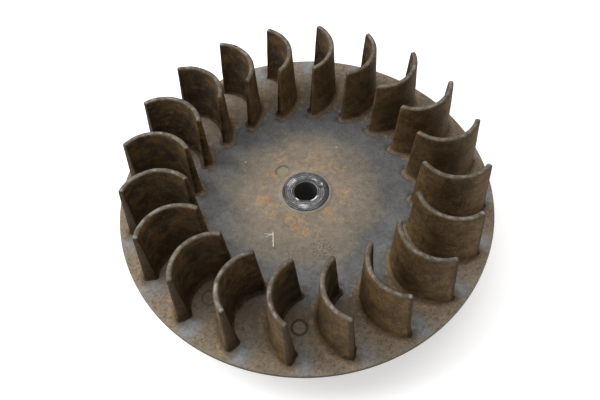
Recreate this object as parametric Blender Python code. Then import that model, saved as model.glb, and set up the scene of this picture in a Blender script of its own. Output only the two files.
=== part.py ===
"""Fan flywheel of a small air-cooled engine, in metres, +Z up along the crankshaft.

A light cast fan disc carries curved blades round its rim and a steel hub sleeve at its centre.
Under the disc an iron ring adds inertia and holds the ignition magnet between two pole shoes.
The origin is on the shaft axis, on the plane of the ring's lowest face.
"""

import math

import bmesh
import bpy
from mathutils import Matrix, Vector

MM = 0.001
GAP = 0.3 * MM  # clearance left between pieces that touch
CUT_MARGIN = 1.0 * MM  # how far a cutter reaches past the face it opens

# Fan disc
DISC_RADIUS = 101.6 * MM
FAN_FACE_Z = 30.0 * MM
WEB_THICKNESS = 8.0 * MM
EDGE_THICKNESS = 2.6 * MM
EDGE_SLOPE_WIDTH = 9.6 * MM
DOME_RADIUS = 50.0 * MM
DOME_RISE = 3.2 * MM
DOME_STEPS = 6
RIM_ROUNDING = 0.5 * MM
BOSS_RADIUS = 20.0 * MM
BOSS_END_Z = 5.0 * MM
BOSS_FILLET = 3.0 * MM
BOSS_CHAMFER = 1.0 * MM
DISC_SEGMENTS = 80

# Fan blades
BLADE_COUNT = 20
FIRST_BLADE_ANGLE = math.radians(83.05)
BLADE_INNER_RADIUS = 59.9 * MM
BLADE_OUTER_RADIUS = 92.6 * MM
BLADE_BULGE = 9.1 * MM
BLADE_INNER_HEIGHT = 37.6 * MM
BLADE_OUTER_HEIGHT = 38.0 * MM
BLADE_TOP_THICKNESS = 2.7 * MM
BLADE_BASE_THICKNESS = 5.0 * MM
BLADE_TOE_THICKENING = 1.6 * MM
BLADE_INNER_DRAFT = 2.5 * MM
BLADE_OUTER_DRAFT = 1.9 * MM
BLADE_EDGE_ROUNDING = 0.7 * MM
BLADE_SIDE_STEPS = 8
BLADE_END_STEPS = 3

# Hub sleeve
HUB_RADIUS = 12.7 * MM
HUB_TOP_Z = 34.5 * MM
HUB_END_Z = 2.0 * MM
BORE_SMALL_RADIUS = 6.35 * MM
BORE_LARGE_RADIUS = 8.33 * MM
BORE_CHAMFER = 0.45 * MM
HUB_TOP_CHAMFER = 0.4 * MM
HUB_END_CHAMFER = 0.6 * MM
KEYWAY_WIDTH = 4.8 * MM
KEYWAY_DEPTH = 2.2 * MM
KEYWAY_TOP_Z = 29.5 * MM
KEYWAY_ANGLE = math.radians(270)
HUB_SEGMENTS = 48

# Magnet ring
RING_INNER_RADIUS = 52.0 * MM
RING_OUTER_RADIUS = 66.0 * MM
RING_CHAMFER = 0.8 * MM
RING_SEGMENTS = 72
MAGNET_ANGLE = math.radians(90)
POCKET_HALF_WIDTH = 22.3 * MM
POCKET_FLOOR_RADIUS = 60.3 * MM
POCKET_OPEN_RADIUS = 40.0 * MM
POCKET_LOW_Z = 3.0 * MM
POCKET_HIGH_Z = 18.9 * MM
MAGNET_HALF_WIDTH = 9.3 * MM
MAGNET_FACE_RADIUS = 53.0 * MM
SHOE_FACE_RADIUS = 51.6 * MM
SHOE_ARC_STEPS = 5

# Counterweight, on the side away from the magnet
WEIGHT_ANGLE = math.radians(270)
WEIGHT_HALF_ANGLE = math.radians(17)
WEIGHT_INNER_RADIUS = 66.6 * MM
WEIGHT_OUTER_RADIUS = 75.0 * MM
WEIGHT_LOW_Z = 12.0 * MM
WEIGHT_ARC_STEPS = 8
WEIGHT_SCREW_HALF_ANGLE = math.radians(10)

# Screws: shank radius, head radius, head height and the clearance radius of the hole; the
# socket's size and depth are shares of the head's
RING_SCREW = (2.5 * MM, 4.25 * MM, 4.8 * MM, 2.8 * MM)
SHOE_SCREW = (2.0 * MM, 3.5 * MM, 2.2 * MM, 2.3 * MM)
WEIGHT_SCREW = (2.0 * MM, 3.5 * MM, 2.6 * MM, 2.3 * MM)
RING_SCREW_COUNT = 6
RING_SCREW_CIRCLE = 59.0 * MM
RING_SCREW_FIRST = math.radians(60)
RING_COUNTERBORE = (4.6 * MM, 5.5 * MM)
SHOE_COUNTERBORE_RADIUS = 4.0 * MM
SHOE_COUNTERBORE_FLOOR = 63.2 * MM
SHOE_COUNTERBORE_REACH = 8.0 * MM
SHOE_SCREW_OFFSET = 15.8 * MM
SHOE_SCREW_TIP_RADIUS = 55.0 * MM
SCREW_TIP_CLEARANCE = 0.8 * MM
SCREW_BEVEL = 0.4 * MM
SOCKET_SIDES = 6
SOCKET_RADIUS_SHARE = 0.55
SOCKET_DEPTH_SHARE = 0.55
BLIND_HOLE_TOP_Z = 27.0 * MM
SCREW_SEGMENTS = 16

WEB_UNDERSIDE_Z = FAN_FACE_Z - WEB_THICKNESS
RING_TOP_Z = WEB_UNDERSIDE_Z - GAP
POCKET_MIDDLE_Z = (POCKET_LOW_Z + POCKET_HIGH_Z) / 2


def clear_scene():
    for obj in list(bpy.data.objects):
        bpy.data.objects.remove(obj, do_unlink=True)


def metal(name, colour, roughness, metallic):
    material = bpy.data.materials.new(name)
    material.use_nodes = True
    shader = material.node_tree.nodes["Principled BSDF"]
    shader.inputs["Base Color"].default_value = (*colour, 1.0)
    shader.inputs["Roughness"].default_value = roughness
    shader.inputs["Metallic"].default_value = metallic
    return material


def add_object(name, mesh_data, material, flat_angle=math.radians(30)):
    """Turns a bmesh into a named object with outward faces and smooth round sides."""
    bmesh.ops.recalc_face_normals(mesh_data, faces=mesh_data.faces)
    mesh = bpy.data.meshes.new(name)
    mesh_data.to_mesh(mesh)
    mesh_data.free()
    mesh.shade_smooth()
    mesh.set_sharp_from_angle(angle=flat_angle)
    obj = bpy.data.objects.new(name, mesh)
    bpy.context.scene.collection.objects.link(obj)
    if material:
        obj.data.materials.append(material)
    return obj


def hide_tool(obj):
    """Marks a cutter, which is no part of the object."""
    obj.hide_render = True
    obj.display_type = "WIRE"
    return obj


def turned(profile, segments):
    """Revolves a closed outline of (radius, height) points about Z; radius 0 closes on the axis."""
    shape = bmesh.new()
    rings = []
    for radius, height in profile:
        if radius == 0:
            rings.append([shape.verts.new((0, 0, height))] * segments)
            continue
        ring = []
        for step in range(segments):
            angle = 2 * math.pi * step / segments
            ring.append(shape.verts.new((radius * math.cos(angle), radius * math.sin(angle), height)))
        rings.append(ring)
    for row, ring in enumerate(rings):
        below = rings[(row + 1) % len(rings)]
        if ring[0] is ring[1] and below[0] is below[1]:
            continue
        for step in range(segments):
            after = (step + 1) % segments
            corners = [ring[step], ring[after], below[after], below[step]]
            shape.faces.new(list(dict.fromkeys(corners)))
    return shape


def prism(outline, low_z, high_z):
    """Stands a closed outline of (x, y) points up between two heights."""
    shape = bmesh.new()
    low = [shape.verts.new((x, y, low_z)) for x, y in outline]
    high = [shape.verts.new((x, y, high_z)) for x, y in outline]
    shape.faces.new(low)
    shape.faces.new(high)
    for index in range(len(outline)):
        after = (index + 1) % len(outline)
        shape.faces.new([low[index], low[after], high[after], high[index]])
    return shape


def box(low, high):
    corners = [(low[0], low[1]), (high[0], low[1]), (high[0], high[1]), (low[0], high[1])]
    return prism(corners, low[2], high[2])


def spin(shape, angle):
    """Turns a bmesh about the shaft axis."""
    bmesh.ops.rotate(shape, cent=(0, 0, 0), matrix=Matrix.Rotation(angle, 3, "Z"), verts=shape.verts)
    return shape


def cut(target, cutters):
    """Subtracts all the cutters from the target in one Boolean modifier."""
    tools = bpy.data.collections.new(f"{target.name}_cutters")
    for tool in cutters:
        tools.objects.link(tool)
    modifier = target.modifiers.new("holes", "BOOLEAN")
    modifier.operation = "DIFFERENCE"
    modifier.solver = "EXACT"
    modifier.operand_type = "COLLECTION"
    modifier.collection = tools


def cutter(name, shape):
    return hide_tool(add_object(name, shape, None))


def rod_cutter(name, radius, start, end):
    """A round cutter between two points."""
    start, end = Vector(start), Vector(end)
    length = (end - start).length
    shape = turned([(0, length), (radius, length), (radius, 0), (0, 0)], SCREW_SEGMENTS)
    turn = (end - start).to_track_quat("Z", "Y").to_matrix()
    bmesh.ops.rotate(shape, cent=(0, 0, 0), matrix=turn, verts=shape.verts)
    bmesh.ops.translate(shape, vec=start, verts=shape.verts)
    return cutter(name, shape)


def around(radius, angle, height):
    """The point at a radius and angle from the shaft axis."""
    return Vector((radius * math.cos(angle), radius * math.sin(angle), height))


def dome_height(radius):
    """Height of the fan face: flat outside, rising smoothly towards the hub."""
    share = min(1.0, max(0.0, (DOME_RADIUS - radius) / (DOME_RADIUS - HUB_RADIUS)))
    return FAN_FACE_Z + DOME_RISE * share * share * (3 - 2 * share)


def make_fan_disc(material, hole_cutters):
    inner = HUB_RADIUS + GAP
    dome = [inner + (DOME_RADIUS - inner) * step / DOME_STEPS for step in range(DOME_STEPS + 1)]
    profile = [(radius, dome_height(radius)) for radius in dome]
    profile += [
        (DISC_RADIUS - RIM_ROUNDING, FAN_FACE_Z),
        (DISC_RADIUS, FAN_FACE_Z - RIM_ROUNDING),
        (DISC_RADIUS, FAN_FACE_Z - EDGE_THICKNESS),
        (DISC_RADIUS - EDGE_SLOPE_WIDTH, WEB_UNDERSIDE_Z),
        (BOSS_RADIUS + BOSS_FILLET, WEB_UNDERSIDE_Z),
        (BOSS_RADIUS, WEB_UNDERSIDE_Z - BOSS_FILLET),
        (BOSS_RADIUS, BOSS_END_Z + BOSS_CHAMFER),
        (BOSS_RADIUS - BOSS_CHAMFER, BOSS_END_Z),
        (inner, BOSS_END_Z),
    ]
    disc = add_object("fan_disc", turned(profile, DISC_SEGMENTS), material)
    cut(disc, hole_cutters)


def blade_outline(level):
    """The blade's outline seen from above, at a share of its height, in (tangential, radial) places.

    The middle line is an arc through both ends that bulges sideways. Lower levels are thicker
    and longer, because the blade is drafted.
    """
    down = 1 - level
    half_chord = (BLADE_OUTER_RADIUS - BLADE_INNER_RADIUS) / 2
    middle = (BLADE_OUTER_RADIUS + BLADE_INNER_RADIUS) / 2
    arc_radius = (half_chord**2 + BLADE_BULGE**2) / (2 * BLADE_BULGE)
    half_angle = math.asin(half_chord / arc_radius)
    thin = BLADE_TOP_THICKNESS + down * (BLADE_BASE_THICKNESS - BLADE_TOP_THICKNESS)

    # The rounded ends already add half a thickness, so the arc's own ends move by the rest.
    inner_end = -half_angle - (down * BLADE_INNER_DRAFT - thin / 2) / arc_radius
    thick = thin + down * BLADE_TOE_THICKENING
    outer_end = half_angle + (down * BLADE_OUTER_DRAFT - thick / 2) / arc_radius

    def place(angle, offset):
        radius = arc_radius + offset
        return (radius * math.cos(angle) - (arc_radius - BLADE_BULGE), middle + radius * math.sin(angle))

    def half_thickness(share):
        return (thin + down * BLADE_TOE_THICKENING * share**2) / 2

    points = []
    shares = [step / BLADE_SIDE_STEPS for step in range(BLADE_SIDE_STEPS + 1)]
    for share in shares:
        points.append(place(inner_end + share * (outer_end - inner_end), half_thickness(share)))
    points += blade_end(place, outer_end, half_thickness(1.0), 1)
    for share in reversed(shares):
        points.append(place(inner_end + share * (outer_end - inner_end), -half_thickness(share)))
    points += blade_end(place, inner_end, half_thickness(0.0), -1)
    return points


def blade_end(place, end_angle, half, direction):
    """The points between the two sides, on a half circle round the middle line's end."""
    centre = Vector(place(end_angle, 0))
    outward = Vector((-math.sin(end_angle), math.cos(end_angle))) * direction
    side = Vector((math.cos(end_angle), math.sin(end_angle))) * direction
    points = []
    for step in range(1, BLADE_END_STEPS):
        angle = math.pi * step / BLADE_END_STEPS
        points.append(tuple(centre + side * (half * math.cos(angle)) + outward * (half * math.sin(angle))))
    return points


def blade_top_z(radial):
    """The top edge rises slightly in a straight line from the inner end to the outer one."""
    share = (radial - BLADE_INNER_RADIUS) / (BLADE_OUTER_RADIUS - BLADE_INNER_RADIUS)
    height = BLADE_INNER_HEIGHT + share * (BLADE_OUTER_HEIGHT - BLADE_INNER_HEIGHT)
    return FAN_FACE_Z + height


def shrunk(outline, amount):
    """An outline that runs counter-clockwise, moved inwards, for the rounded top edge."""
    moved = []
    for index, (x, y) in enumerate(outline):
        before = Vector(outline[index - 1])
        after = Vector(outline[(index + 1) % len(outline)])
        along = (after - before).normalized()
        moved.append((x - along.y * amount, y + along.x * amount))
    return moved


def make_blade_mesh():
    """One blade standing on the +Y axis of the disc."""
    base_z = FAN_FACE_Z + GAP
    base = blade_outline(0.0)
    top = blade_outline(1.0)
    rounded = shrunk(top, BLADE_EDGE_ROUNDING)
    levels = [
        [(x, y, base_z) for x, y in base],
        [(x, y, blade_top_z(y) - BLADE_EDGE_ROUNDING) for x, y in top],
        [(x, y, blade_top_z(y)) for x, y in rounded],
    ]
    shape = bmesh.new()
    rows = [[shape.verts.new(point) for point in level] for level in levels]
    shape.faces.new(rows[0])
    shape.faces.new(rows[-1])
    for low, high in zip(rows, rows[1:]):
        for index in range(len(low)):
            after = (index + 1) % len(low)
            shape.faces.new([low[index], low[after], high[after], high[index]])
    return shape


def make_blades(material):
    """Identical blades, evenly spaced; each object turns its shared mesh about the shaft axis."""
    first = add_object("fan_blade_01", make_blade_mesh(), material)
    for index in range(BLADE_COUNT):
        blade = first
        if index:
            blade = bpy.data.objects.new(f"fan_blade_{index + 1:02d}", first.data)
            bpy.context.scene.collection.objects.link(blade)
        angle = FIRST_BLADE_ANGLE - 2 * math.pi * index / BLADE_COUNT
        blade.rotation_euler.z = angle - math.pi / 2


def make_hub_sleeve(material):
    """Steel sleeve with a tapered bore, whose keyway stops short of the small end."""
    profile = [
        (HUB_RADIUS - HUB_TOP_CHAMFER, HUB_TOP_Z),
        (HUB_RADIUS, HUB_TOP_Z - HUB_TOP_CHAMFER),
        (HUB_RADIUS, HUB_END_Z + HUB_END_CHAMFER),
        (HUB_RADIUS - HUB_END_CHAMFER, HUB_END_Z),
        (BORE_LARGE_RADIUS, HUB_END_Z),
        (BORE_SMALL_RADIUS, HUB_TOP_Z - BORE_CHAMFER),
        (BORE_SMALL_RADIUS + BORE_CHAMFER, HUB_TOP_Z),
    ]
    sleeve = add_object("hub_sleeve", turned(profile, HUB_SEGMENTS), material)
    reach = BORE_LARGE_RADIUS + KEYWAY_DEPTH
    half = KEYWAY_WIDTH / 2
    slot = box((0, -half, HUB_END_Z - CUT_MARGIN), (reach, half, KEYWAY_TOP_Z))
    cut(sleeve, [cutter("keyway_cutter", spin(slot, KEYWAY_ANGLE))])


def ring_screw_angles():
    return [RING_SCREW_FIRST + 2 * math.pi * index / RING_SCREW_COUNT for index in range(RING_SCREW_COUNT)]


def weight_screw_places():
    radius = (WEIGHT_INNER_RADIUS + WEIGHT_OUTER_RADIUS) / 2
    angles = [WEIGHT_ANGLE - WEIGHT_SCREW_HALF_ANGLE, WEIGHT_ANGLE + WEIGHT_SCREW_HALF_ANGLE]
    return [around(radius, angle, 0) for angle in angles]


def at_magnet(radial, tangential, height):
    """A point given radially and sideways from the magnet's middle."""
    return Matrix.Rotation(MAGNET_ANGLE, 3, "Z") @ Vector((radial, tangential, height))


def shoe_screw_ends():
    """For each pole shoe's screw: the middle of its head's outer face and of its tip."""
    ends = []
    for side in (-1, 1):
        offset = side * SHOE_SCREW_OFFSET
        head = at_magnet(SHOE_COUNTERBORE_FLOOR + GAP, offset, POCKET_MIDDLE_Z)
        tip = at_magnet(SHOE_SCREW_TIP_RADIUS, offset, POCKET_MIDDLE_Z)
        ends.append((head, tip))
    return ends


def make_magnet_ring(material, screw_holes):
    profile = [
        (RING_INNER_RADIUS, RING_TOP_Z),
        (RING_OUTER_RADIUS, RING_TOP_Z),
        (RING_OUTER_RADIUS, RING_CHAMFER),
        (RING_OUTER_RADIUS - RING_CHAMFER, 0),
        (RING_INNER_RADIUS + RING_CHAMFER, 0),
        (RING_INNER_RADIUS, RING_CHAMFER),
    ]
    shape = spin(turned(profile, RING_SEGMENTS), math.pi / RING_SEGMENTS)
    ring = add_object("magnet_ring", shape, material)
    low = (POCKET_OPEN_RADIUS, -POCKET_HALF_WIDTH, POCKET_LOW_Z)
    high = (POCKET_FLOOR_RADIUS, POCKET_HALF_WIDTH, POCKET_HIGH_Z)
    pocket = cutter("magnet_pocket_cutter", spin(box(low, high), MAGNET_ANGLE))
    cut(ring, [pocket] + screw_holes)


def make_magnet(material):
    low = (MAGNET_FACE_RADIUS, -MAGNET_HALF_WIDTH, POCKET_LOW_Z + GAP)
    high = (POCKET_FLOOR_RADIUS - GAP, MAGNET_HALF_WIDTH, POCKET_HIGH_Z - GAP)
    add_object("magnet", spin(box(low, high), MAGNET_ANGLE), material)


def make_pole_shoes(material, screw_holes):
    """Each shoe fills its end of the pocket, with an inner face that follows the ring."""
    back = POCKET_FLOOR_RADIUS - GAP
    near = MAGNET_HALF_WIDTH + GAP
    far = POCKET_HALF_WIDTH - GAP
    for number, side, hole in ((1, -1, screw_holes[0]), (2, 1, screw_holes[1])):
        outline = [(back, side * near), (back, side * far)]
        for step in range(SHOE_ARC_STEPS + 1):
            sideways = far + (near - far) * step / SHOE_ARC_STEPS
            outline.append((math.sqrt(SHOE_FACE_RADIUS**2 - sideways**2), side * sideways))
        shape = prism(outline, POCKET_LOW_Z + GAP, POCKET_HIGH_Z - GAP)
        shoe = add_object(f"pole_shoe_{number}", spin(shape, MAGNET_ANGLE), material)
        cut(shoe, [hole])


def make_counterweight(material, screw_holes):
    outline = []
    for radius, direction in ((WEIGHT_OUTER_RADIUS, 1), (WEIGHT_INNER_RADIUS, -1)):
        for step in range(WEIGHT_ARC_STEPS + 1):
            turn = direction * WEIGHT_HALF_ANGLE * (2 * step / WEIGHT_ARC_STEPS - 1)
            point = around(radius, WEIGHT_ANGLE + turn, 0)
            outline.append((point.x, point.y))
    weight = add_object("counterweight", prism(outline, WEIGHT_LOW_Z, RING_TOP_Z), material)
    cut(weight, screw_holes)


def make_screw(name, sizes, under_head, tip, material):
    """A screw whose head sits at under_head and whose shank runs to tip, with a socket in its head."""
    shank_radius, head_radius, head_height, _ = sizes
    under_head, tip = Vector(under_head), Vector(tip)
    length = (tip - under_head).length
    socket_radius = head_radius * SOCKET_RADIUS_SHARE
    socket_floor = -head_height * (1 - SOCKET_DEPTH_SHARE)
    bevel = SCREW_BEVEL
    profile = [
        (0, length),
        (shank_radius - bevel, length),
        (shank_radius, length - bevel),
        (shank_radius, 0),
        (head_radius, 0),
        (head_radius, bevel - head_height),
        (head_radius - bevel, -head_height),
        (0, -head_height),
    ]
    turn = (tip - under_head).to_track_quat("Z", "Y").to_matrix()
    shape = turned(profile, SCREW_SEGMENTS)
    corners = [2 * math.pi * side / SOCKET_SIDES for side in range(SOCKET_SIDES)]
    outline = [(socket_radius * math.cos(angle), socket_radius * math.sin(angle)) for angle in corners]
    socket = prism(outline, -head_height - CUT_MARGIN, socket_floor)
    for piece in (shape, socket):
        bmesh.ops.rotate(piece, cent=(0, 0, 0), matrix=turn, verts=piece.verts)
        bmesh.ops.translate(piece, vec=under_head, verts=piece.verts)
    screw = add_object(name, shape, material)
    cut(screw, [cutter(f"{name}_socket_cutter", socket)])


def main():
    clear_scene()
    casting = metal("cast_alloy", (0.20, 0.155, 0.12), 0.62, 0.55)
    blade_metal = metal("cast_alloy_blades", (0.17, 0.12, 0.085), 0.68, 0.5)
    sleeve_steel = metal("turned_steel", (0.36, 0.36, 0.37), 0.36, 0.95)
    ring_iron = metal("ring_iron", (0.13, 0.12, 0.115), 0.55, 0.85)
    magnet_alloy = metal("magnet_alloy", (0.24, 0.24, 0.25), 0.5, 0.9)
    shoe_steel = metal("shoe_steel", (0.30, 0.29, 0.28), 0.42, 0.9)
    weight_iron = metal("weight_iron", (0.16, 0.15, 0.145), 0.6, 0.85)
    screw_steel = metal("screw_steel", (0.42, 0.41, 0.38), 0.38, 0.95)

    ring_holes = []
    disc_holes = []
    counterbore_radius, counterbore_depth = RING_COUNTERBORE
    for index, angle in enumerate(ring_screw_angles()):
        foot = around(RING_SCREW_CIRCLE, angle, 0)
        name = f"ring_screw_{index + 1}"
        low = foot - Vector((0, 0, CUT_MARGIN))
        recess = foot + Vector((0, 0, counterbore_depth))
        through = foot + Vector((0, 0, BLIND_HOLE_TOP_Z))
        hole = rod_cutter(f"{name}_hole_cutter", RING_SCREW[3], low, through)
        ring_holes.append(rod_cutter(f"{name}_recess_cutter", counterbore_radius, low, recess))
        ring_holes.append(hole)
        disc_holes.append(hole)
        tip = foot + Vector((0, 0, BLIND_HOLE_TOP_Z - SCREW_TIP_CLEARANCE))
        make_screw(name, RING_SCREW, recess - Vector((0, 0, GAP)), tip, screw_steel)

    weight_holes = []
    for index, place in enumerate(weight_screw_places()):
        name = f"counterweight_screw_{index + 1}"
        low = place + Vector((0, 0, WEIGHT_LOW_Z - CUT_MARGIN))
        high = place + Vector((0, 0, BLIND_HOLE_TOP_Z))
        weight_holes.append(rod_cutter(f"{name}_hole_cutter", WEIGHT_SCREW[3], low, high))
        seat = place + Vector((0, 0, WEIGHT_LOW_Z - GAP))
        make_screw(name, WEIGHT_SCREW, seat, high - Vector((0, 0, SCREW_TIP_CLEARANCE)), screw_steel)
    disc_holes += weight_holes

    shoe_holes = []
    for index, (head, tip) in enumerate(shoe_screw_ends()):
        name = f"pole_shoe_screw_{index + 1}"
        outward = (head - tip).normalized()
        deep = tip - outward * SCREW_TIP_CLEARANCE
        outside = head + outward * SHOE_COUNTERBORE_REACH
        floor = head - outward * GAP
        shoe_holes.append(rod_cutter(f"{name}_hole_cutter", SHOE_SCREW[3], deep, outside))
        ring_holes.append(rod_cutter(f"{name}_recess_cutter", SHOE_COUNTERBORE_RADIUS, floor, outside))
        make_screw(name, SHOE_SCREW, head, tip, screw_steel)

    make_fan_disc(casting, disc_holes)
    make_blades(blade_metal)
    make_hub_sleeve(sleeve_steel)
    make_magnet_ring(ring_iron, ring_holes + shoe_holes)
    make_magnet(magnet_alloy)
    make_pole_shoes(shoe_steel, shoe_holes)
    make_counterweight(weight_iron, weight_holes)


main()
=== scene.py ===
"""Looks of the fan flywheel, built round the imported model.

Metres, +Z up along the shaft axis, with the blades on top. Seen from above, blade 01 is the first
one clockwise of +Y. The keyway is towards -Y and the ignition magnet towards +Y.
"""

from math import asin, cos, pi, radians, sin, sqrt

import bmesh
import bpy
import numpy as np
from mathutils import Matrix, Vector


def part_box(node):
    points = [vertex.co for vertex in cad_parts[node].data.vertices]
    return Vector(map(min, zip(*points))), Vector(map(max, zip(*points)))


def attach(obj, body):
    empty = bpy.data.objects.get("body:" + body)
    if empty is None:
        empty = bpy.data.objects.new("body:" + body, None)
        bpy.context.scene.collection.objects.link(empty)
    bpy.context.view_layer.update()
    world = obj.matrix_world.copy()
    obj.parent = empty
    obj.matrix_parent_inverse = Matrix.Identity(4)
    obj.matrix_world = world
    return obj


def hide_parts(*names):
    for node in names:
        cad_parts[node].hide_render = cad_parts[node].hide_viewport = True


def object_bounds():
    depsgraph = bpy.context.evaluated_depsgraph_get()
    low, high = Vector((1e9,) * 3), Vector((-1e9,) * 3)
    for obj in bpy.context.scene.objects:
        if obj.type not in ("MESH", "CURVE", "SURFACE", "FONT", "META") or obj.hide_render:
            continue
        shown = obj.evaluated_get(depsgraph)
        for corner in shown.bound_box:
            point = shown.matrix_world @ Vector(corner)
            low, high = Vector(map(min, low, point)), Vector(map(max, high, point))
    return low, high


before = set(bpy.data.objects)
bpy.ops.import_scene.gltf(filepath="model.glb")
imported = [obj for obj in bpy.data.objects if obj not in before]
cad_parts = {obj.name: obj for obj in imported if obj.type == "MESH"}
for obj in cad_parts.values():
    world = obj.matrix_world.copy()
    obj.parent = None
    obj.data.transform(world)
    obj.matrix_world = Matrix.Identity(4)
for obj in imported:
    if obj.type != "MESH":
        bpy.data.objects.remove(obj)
CAD_LOW, CAD_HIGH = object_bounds()

MM = 0.001
GAP = 0.3 * MM  # between pieces that meet

# Sizes read from the frame
DISC_LOW, DISC_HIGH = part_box("fan_disc")
HUB_LOW, HUB_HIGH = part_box("hub_sleeve")
RING_TOP_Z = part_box("magnet_ring")[1].z
WEIGHT_LOW, WEIGHT_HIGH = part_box("counterweight")
DISC_RADIUS = DISC_HIGH.x
FACE_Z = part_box("fan_blade_01")[0].z - GAP
HUB_RADIUS = HUB_HIGH.x
HUB_TOP_Z = 34.5 * MM
WEB_UNDERSIDE_Z = RING_TOP_Z + GAP

# Fan disc
DOME_RISE = 3.2 * MM
DOME_RADIUS = 50.0 * MM
EDGE_THICKNESS = 2.6 * MM
EDGE_SLOPE_WIDTH = 9.6 * MM
EDGE_ROUNDING = 0.5 * MM
EDGE_CHAMFER = 0.3 * MM
BOSS_RADIUS = 20.0 * MM
BOSS_FILLET = 3.0 * MM
HUB_SEAM = 0.08 * MM
COLLAR_WIDTH = 2.4 * MM
COLLAR_DROP = 0.4 * MM  # how far the casting's collar stays below the sleeve's top
DISC_POINTS = 360

# Marks on the fan face, as places in X and Y
HUB_MARK = (-11.9 * MM, 14.8 * MM)
HUB_MARK_SHADE = (-14.1 * MM, 17.8 * MM)
BLADE_MARK = (-6.3 * MM, -77.0 * MM)
FAINT_MARKS = ((-8.7 * MM, -17.9 * MM), (-50.5 * MM, -58.7 * MM))
PIP_PATCH = np.array((7.6 * MM, -35.3 * MM))
PIP_PATCH_RADIUS = 6.0 * MM
PIP_COUNT = 46
SCRATCH_X = -18.3 * MM
# Outlines of a raised ring and a pip, as shares of their radius and rise
PIN_PROFILE = (
    (0.25, 0.25), (0.62, 0.30), (0.74, 0.55), (0.82, 0.95), (0.88, 1.0), (0.94, 0.85), (1.0, 0.2),
    (1.06, -2.0),
)
PIP_PROFILE = ((0.3, 1.0), (0.6, 0.85), (0.85, 0.5), (1.0, 0.0), (1.02, -1.5))

# Blades
BLADE_COUNT = 20
BLADE_PITCH = 2 * pi / BLADE_COUNT
FIRST_BLADE_ANGLE = radians(83.05)
BLADE_INNER_RADIUS = 59.9 * MM
BLADE_OUTER_RADIUS = 92.6 * MM
BLADE_BULGE = 9.1 * MM
BLADE_INNER_HEIGHT = 37.6 * MM
BLADE_OUTER_HEIGHT = 38.0 * MM
BLADE_TOP_THICKNESS = 2.7 * MM
BLADE_BASE_THICKNESS = 5.0 * MM
BLADE_TOE_THICKENING = 1.6 * MM
BLADE_INNER_DRAFT = 2.5 * MM
BLADE_OUTER_DRAFT = 1.9 * MM
BLADE_TOP_ROUNDING = 1.15 * MM
BLADE_CORNER_ROUNDING = 0.8 * MM
BLADE_FOOT_FILLET = 2.0 * MM
BLADE_TOE_FILLET_SHARE = 0.45  # how much of the foot's fillet is left at the blade's outer end
BLADE_SINK = 0.25 * MM
BLADE_SIDE_POINTS = 34
BLADE_CORNER_POINTS = 5
BLADE_HALF_CHORD = (BLADE_OUTER_RADIUS - BLADE_INNER_RADIUS) / 2
BLADE_MIDDLE = (BLADE_OUTER_RADIUS + BLADE_INNER_RADIUS) / 2
BLADE_ARC = (BLADE_HALF_CHORD**2 + BLADE_BULGE**2) / (2 * BLADE_BULGE)
BLADE_HALF_ANGLE = asin(BLADE_HALF_CHORD / BLADE_ARC)

# Hub sleeve
BORE_SMALL_RADIUS = 6.35 * MM
BORE_LARGE_RADIUS = 8.33 * MM
BORE_CHAMFER = 0.45 * MM
HUB_EDGE_ROUNDING = 0.45 * MM
KEYWAY_WIDTH = 4.8 * MM
KEYWAY_DEPTH = 2.2 * MM
KEYWAY_TOP_Z = 29.5 * MM
NOTCH_ANGLE = radians(15)
HUB_POINTS = 240

# Magnet ring and what is fixed to it
MAGNET_ANGLE = radians(90)
RING_INNER_RADIUS = 52.0 * MM
RING_OUTER_RADIUS = 66.0 * MM
RING_EDGE = 0.8 * MM
RING_POINTS = 192
RING_SCREW_CIRCLE = 59.0 * MM
RING_SCREW_ANGLES = [radians(60 + 60 * index) for index in range(6)]
RING_COUNTERBORE_RADIUS = 4.6 * MM
RING_COUNTERBORE_DEPTH = 5.5 * MM
RING_HOLE_RADIUS = 2.8 * MM
POCKET_HALF_WIDTH = 22.3 * MM
POCKET_FLOOR_RADIUS = 60.3 * MM
POCKET_LOW_Z = 3.0 * MM
POCKET_HIGH_Z = 18.9 * MM
MAGNET_HALF_WIDTH = 9.3 * MM
MAGNET_FACE_RADIUS = 53.0 * MM
SHOE_FACE_RADIUS = 51.6 * MM
SHOE_SCREW_OFFSET = 15.8 * MM
SHOE_SCREW_TIP_RADIUS = 55.0 * MM
SHOE_SEAT_RADIUS = 63.2 * MM
SHOE_RECESS_RADIUS = 4.0 * MM
SMALL_HOLE_RADIUS = 2.3 * MM
SHOE_SHEETS = 16
SHEET_SEAM = 0.10 * MM
SHEET_INSET = 0.09 * MM
WEIGHT_ANGLE = radians(270)
WEIGHT_HALF_ANGLE = radians(17)
WEIGHT_INNER_RADIUS = 66.6 * MM
WEIGHT_OUTER_RADIUS = 75.0 * MM
WEIGHT_SCREW_CIRCLE = 70.8 * MM
WEIGHT_SCREW_ANGLES = (WEIGHT_ANGLE - radians(10), WEIGHT_ANGLE + radians(10))
OUTSIDE_REACH = 1.0 * MM  # how far a cutter starts outside the piece
ROD_POINTS = 48

# Screws, as (shank radius, head radius, head height)
RING_SCREW = (2.5 * MM, 4.25 * MM, 4.8 * MM)
WEIGHT_SCREW = (2.0 * MM, 3.5 * MM, 2.6 * MM)
SHOE_SCREW = (2.0 * MM, 3.5 * MM, 2.2 * MM)
SCREW_POINTS = 96
SCREW_EDGE = 0.35 * MM
THREAD_PITCH = 0.8 * MM
THREAD_DEPTH = 0.22 * MM

CAMERA_DISTANCE = 385.8 * MM
CAMERA_ELEVATION = radians(56.25)
CAMERA_ROLL = radians(-2.72)

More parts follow.
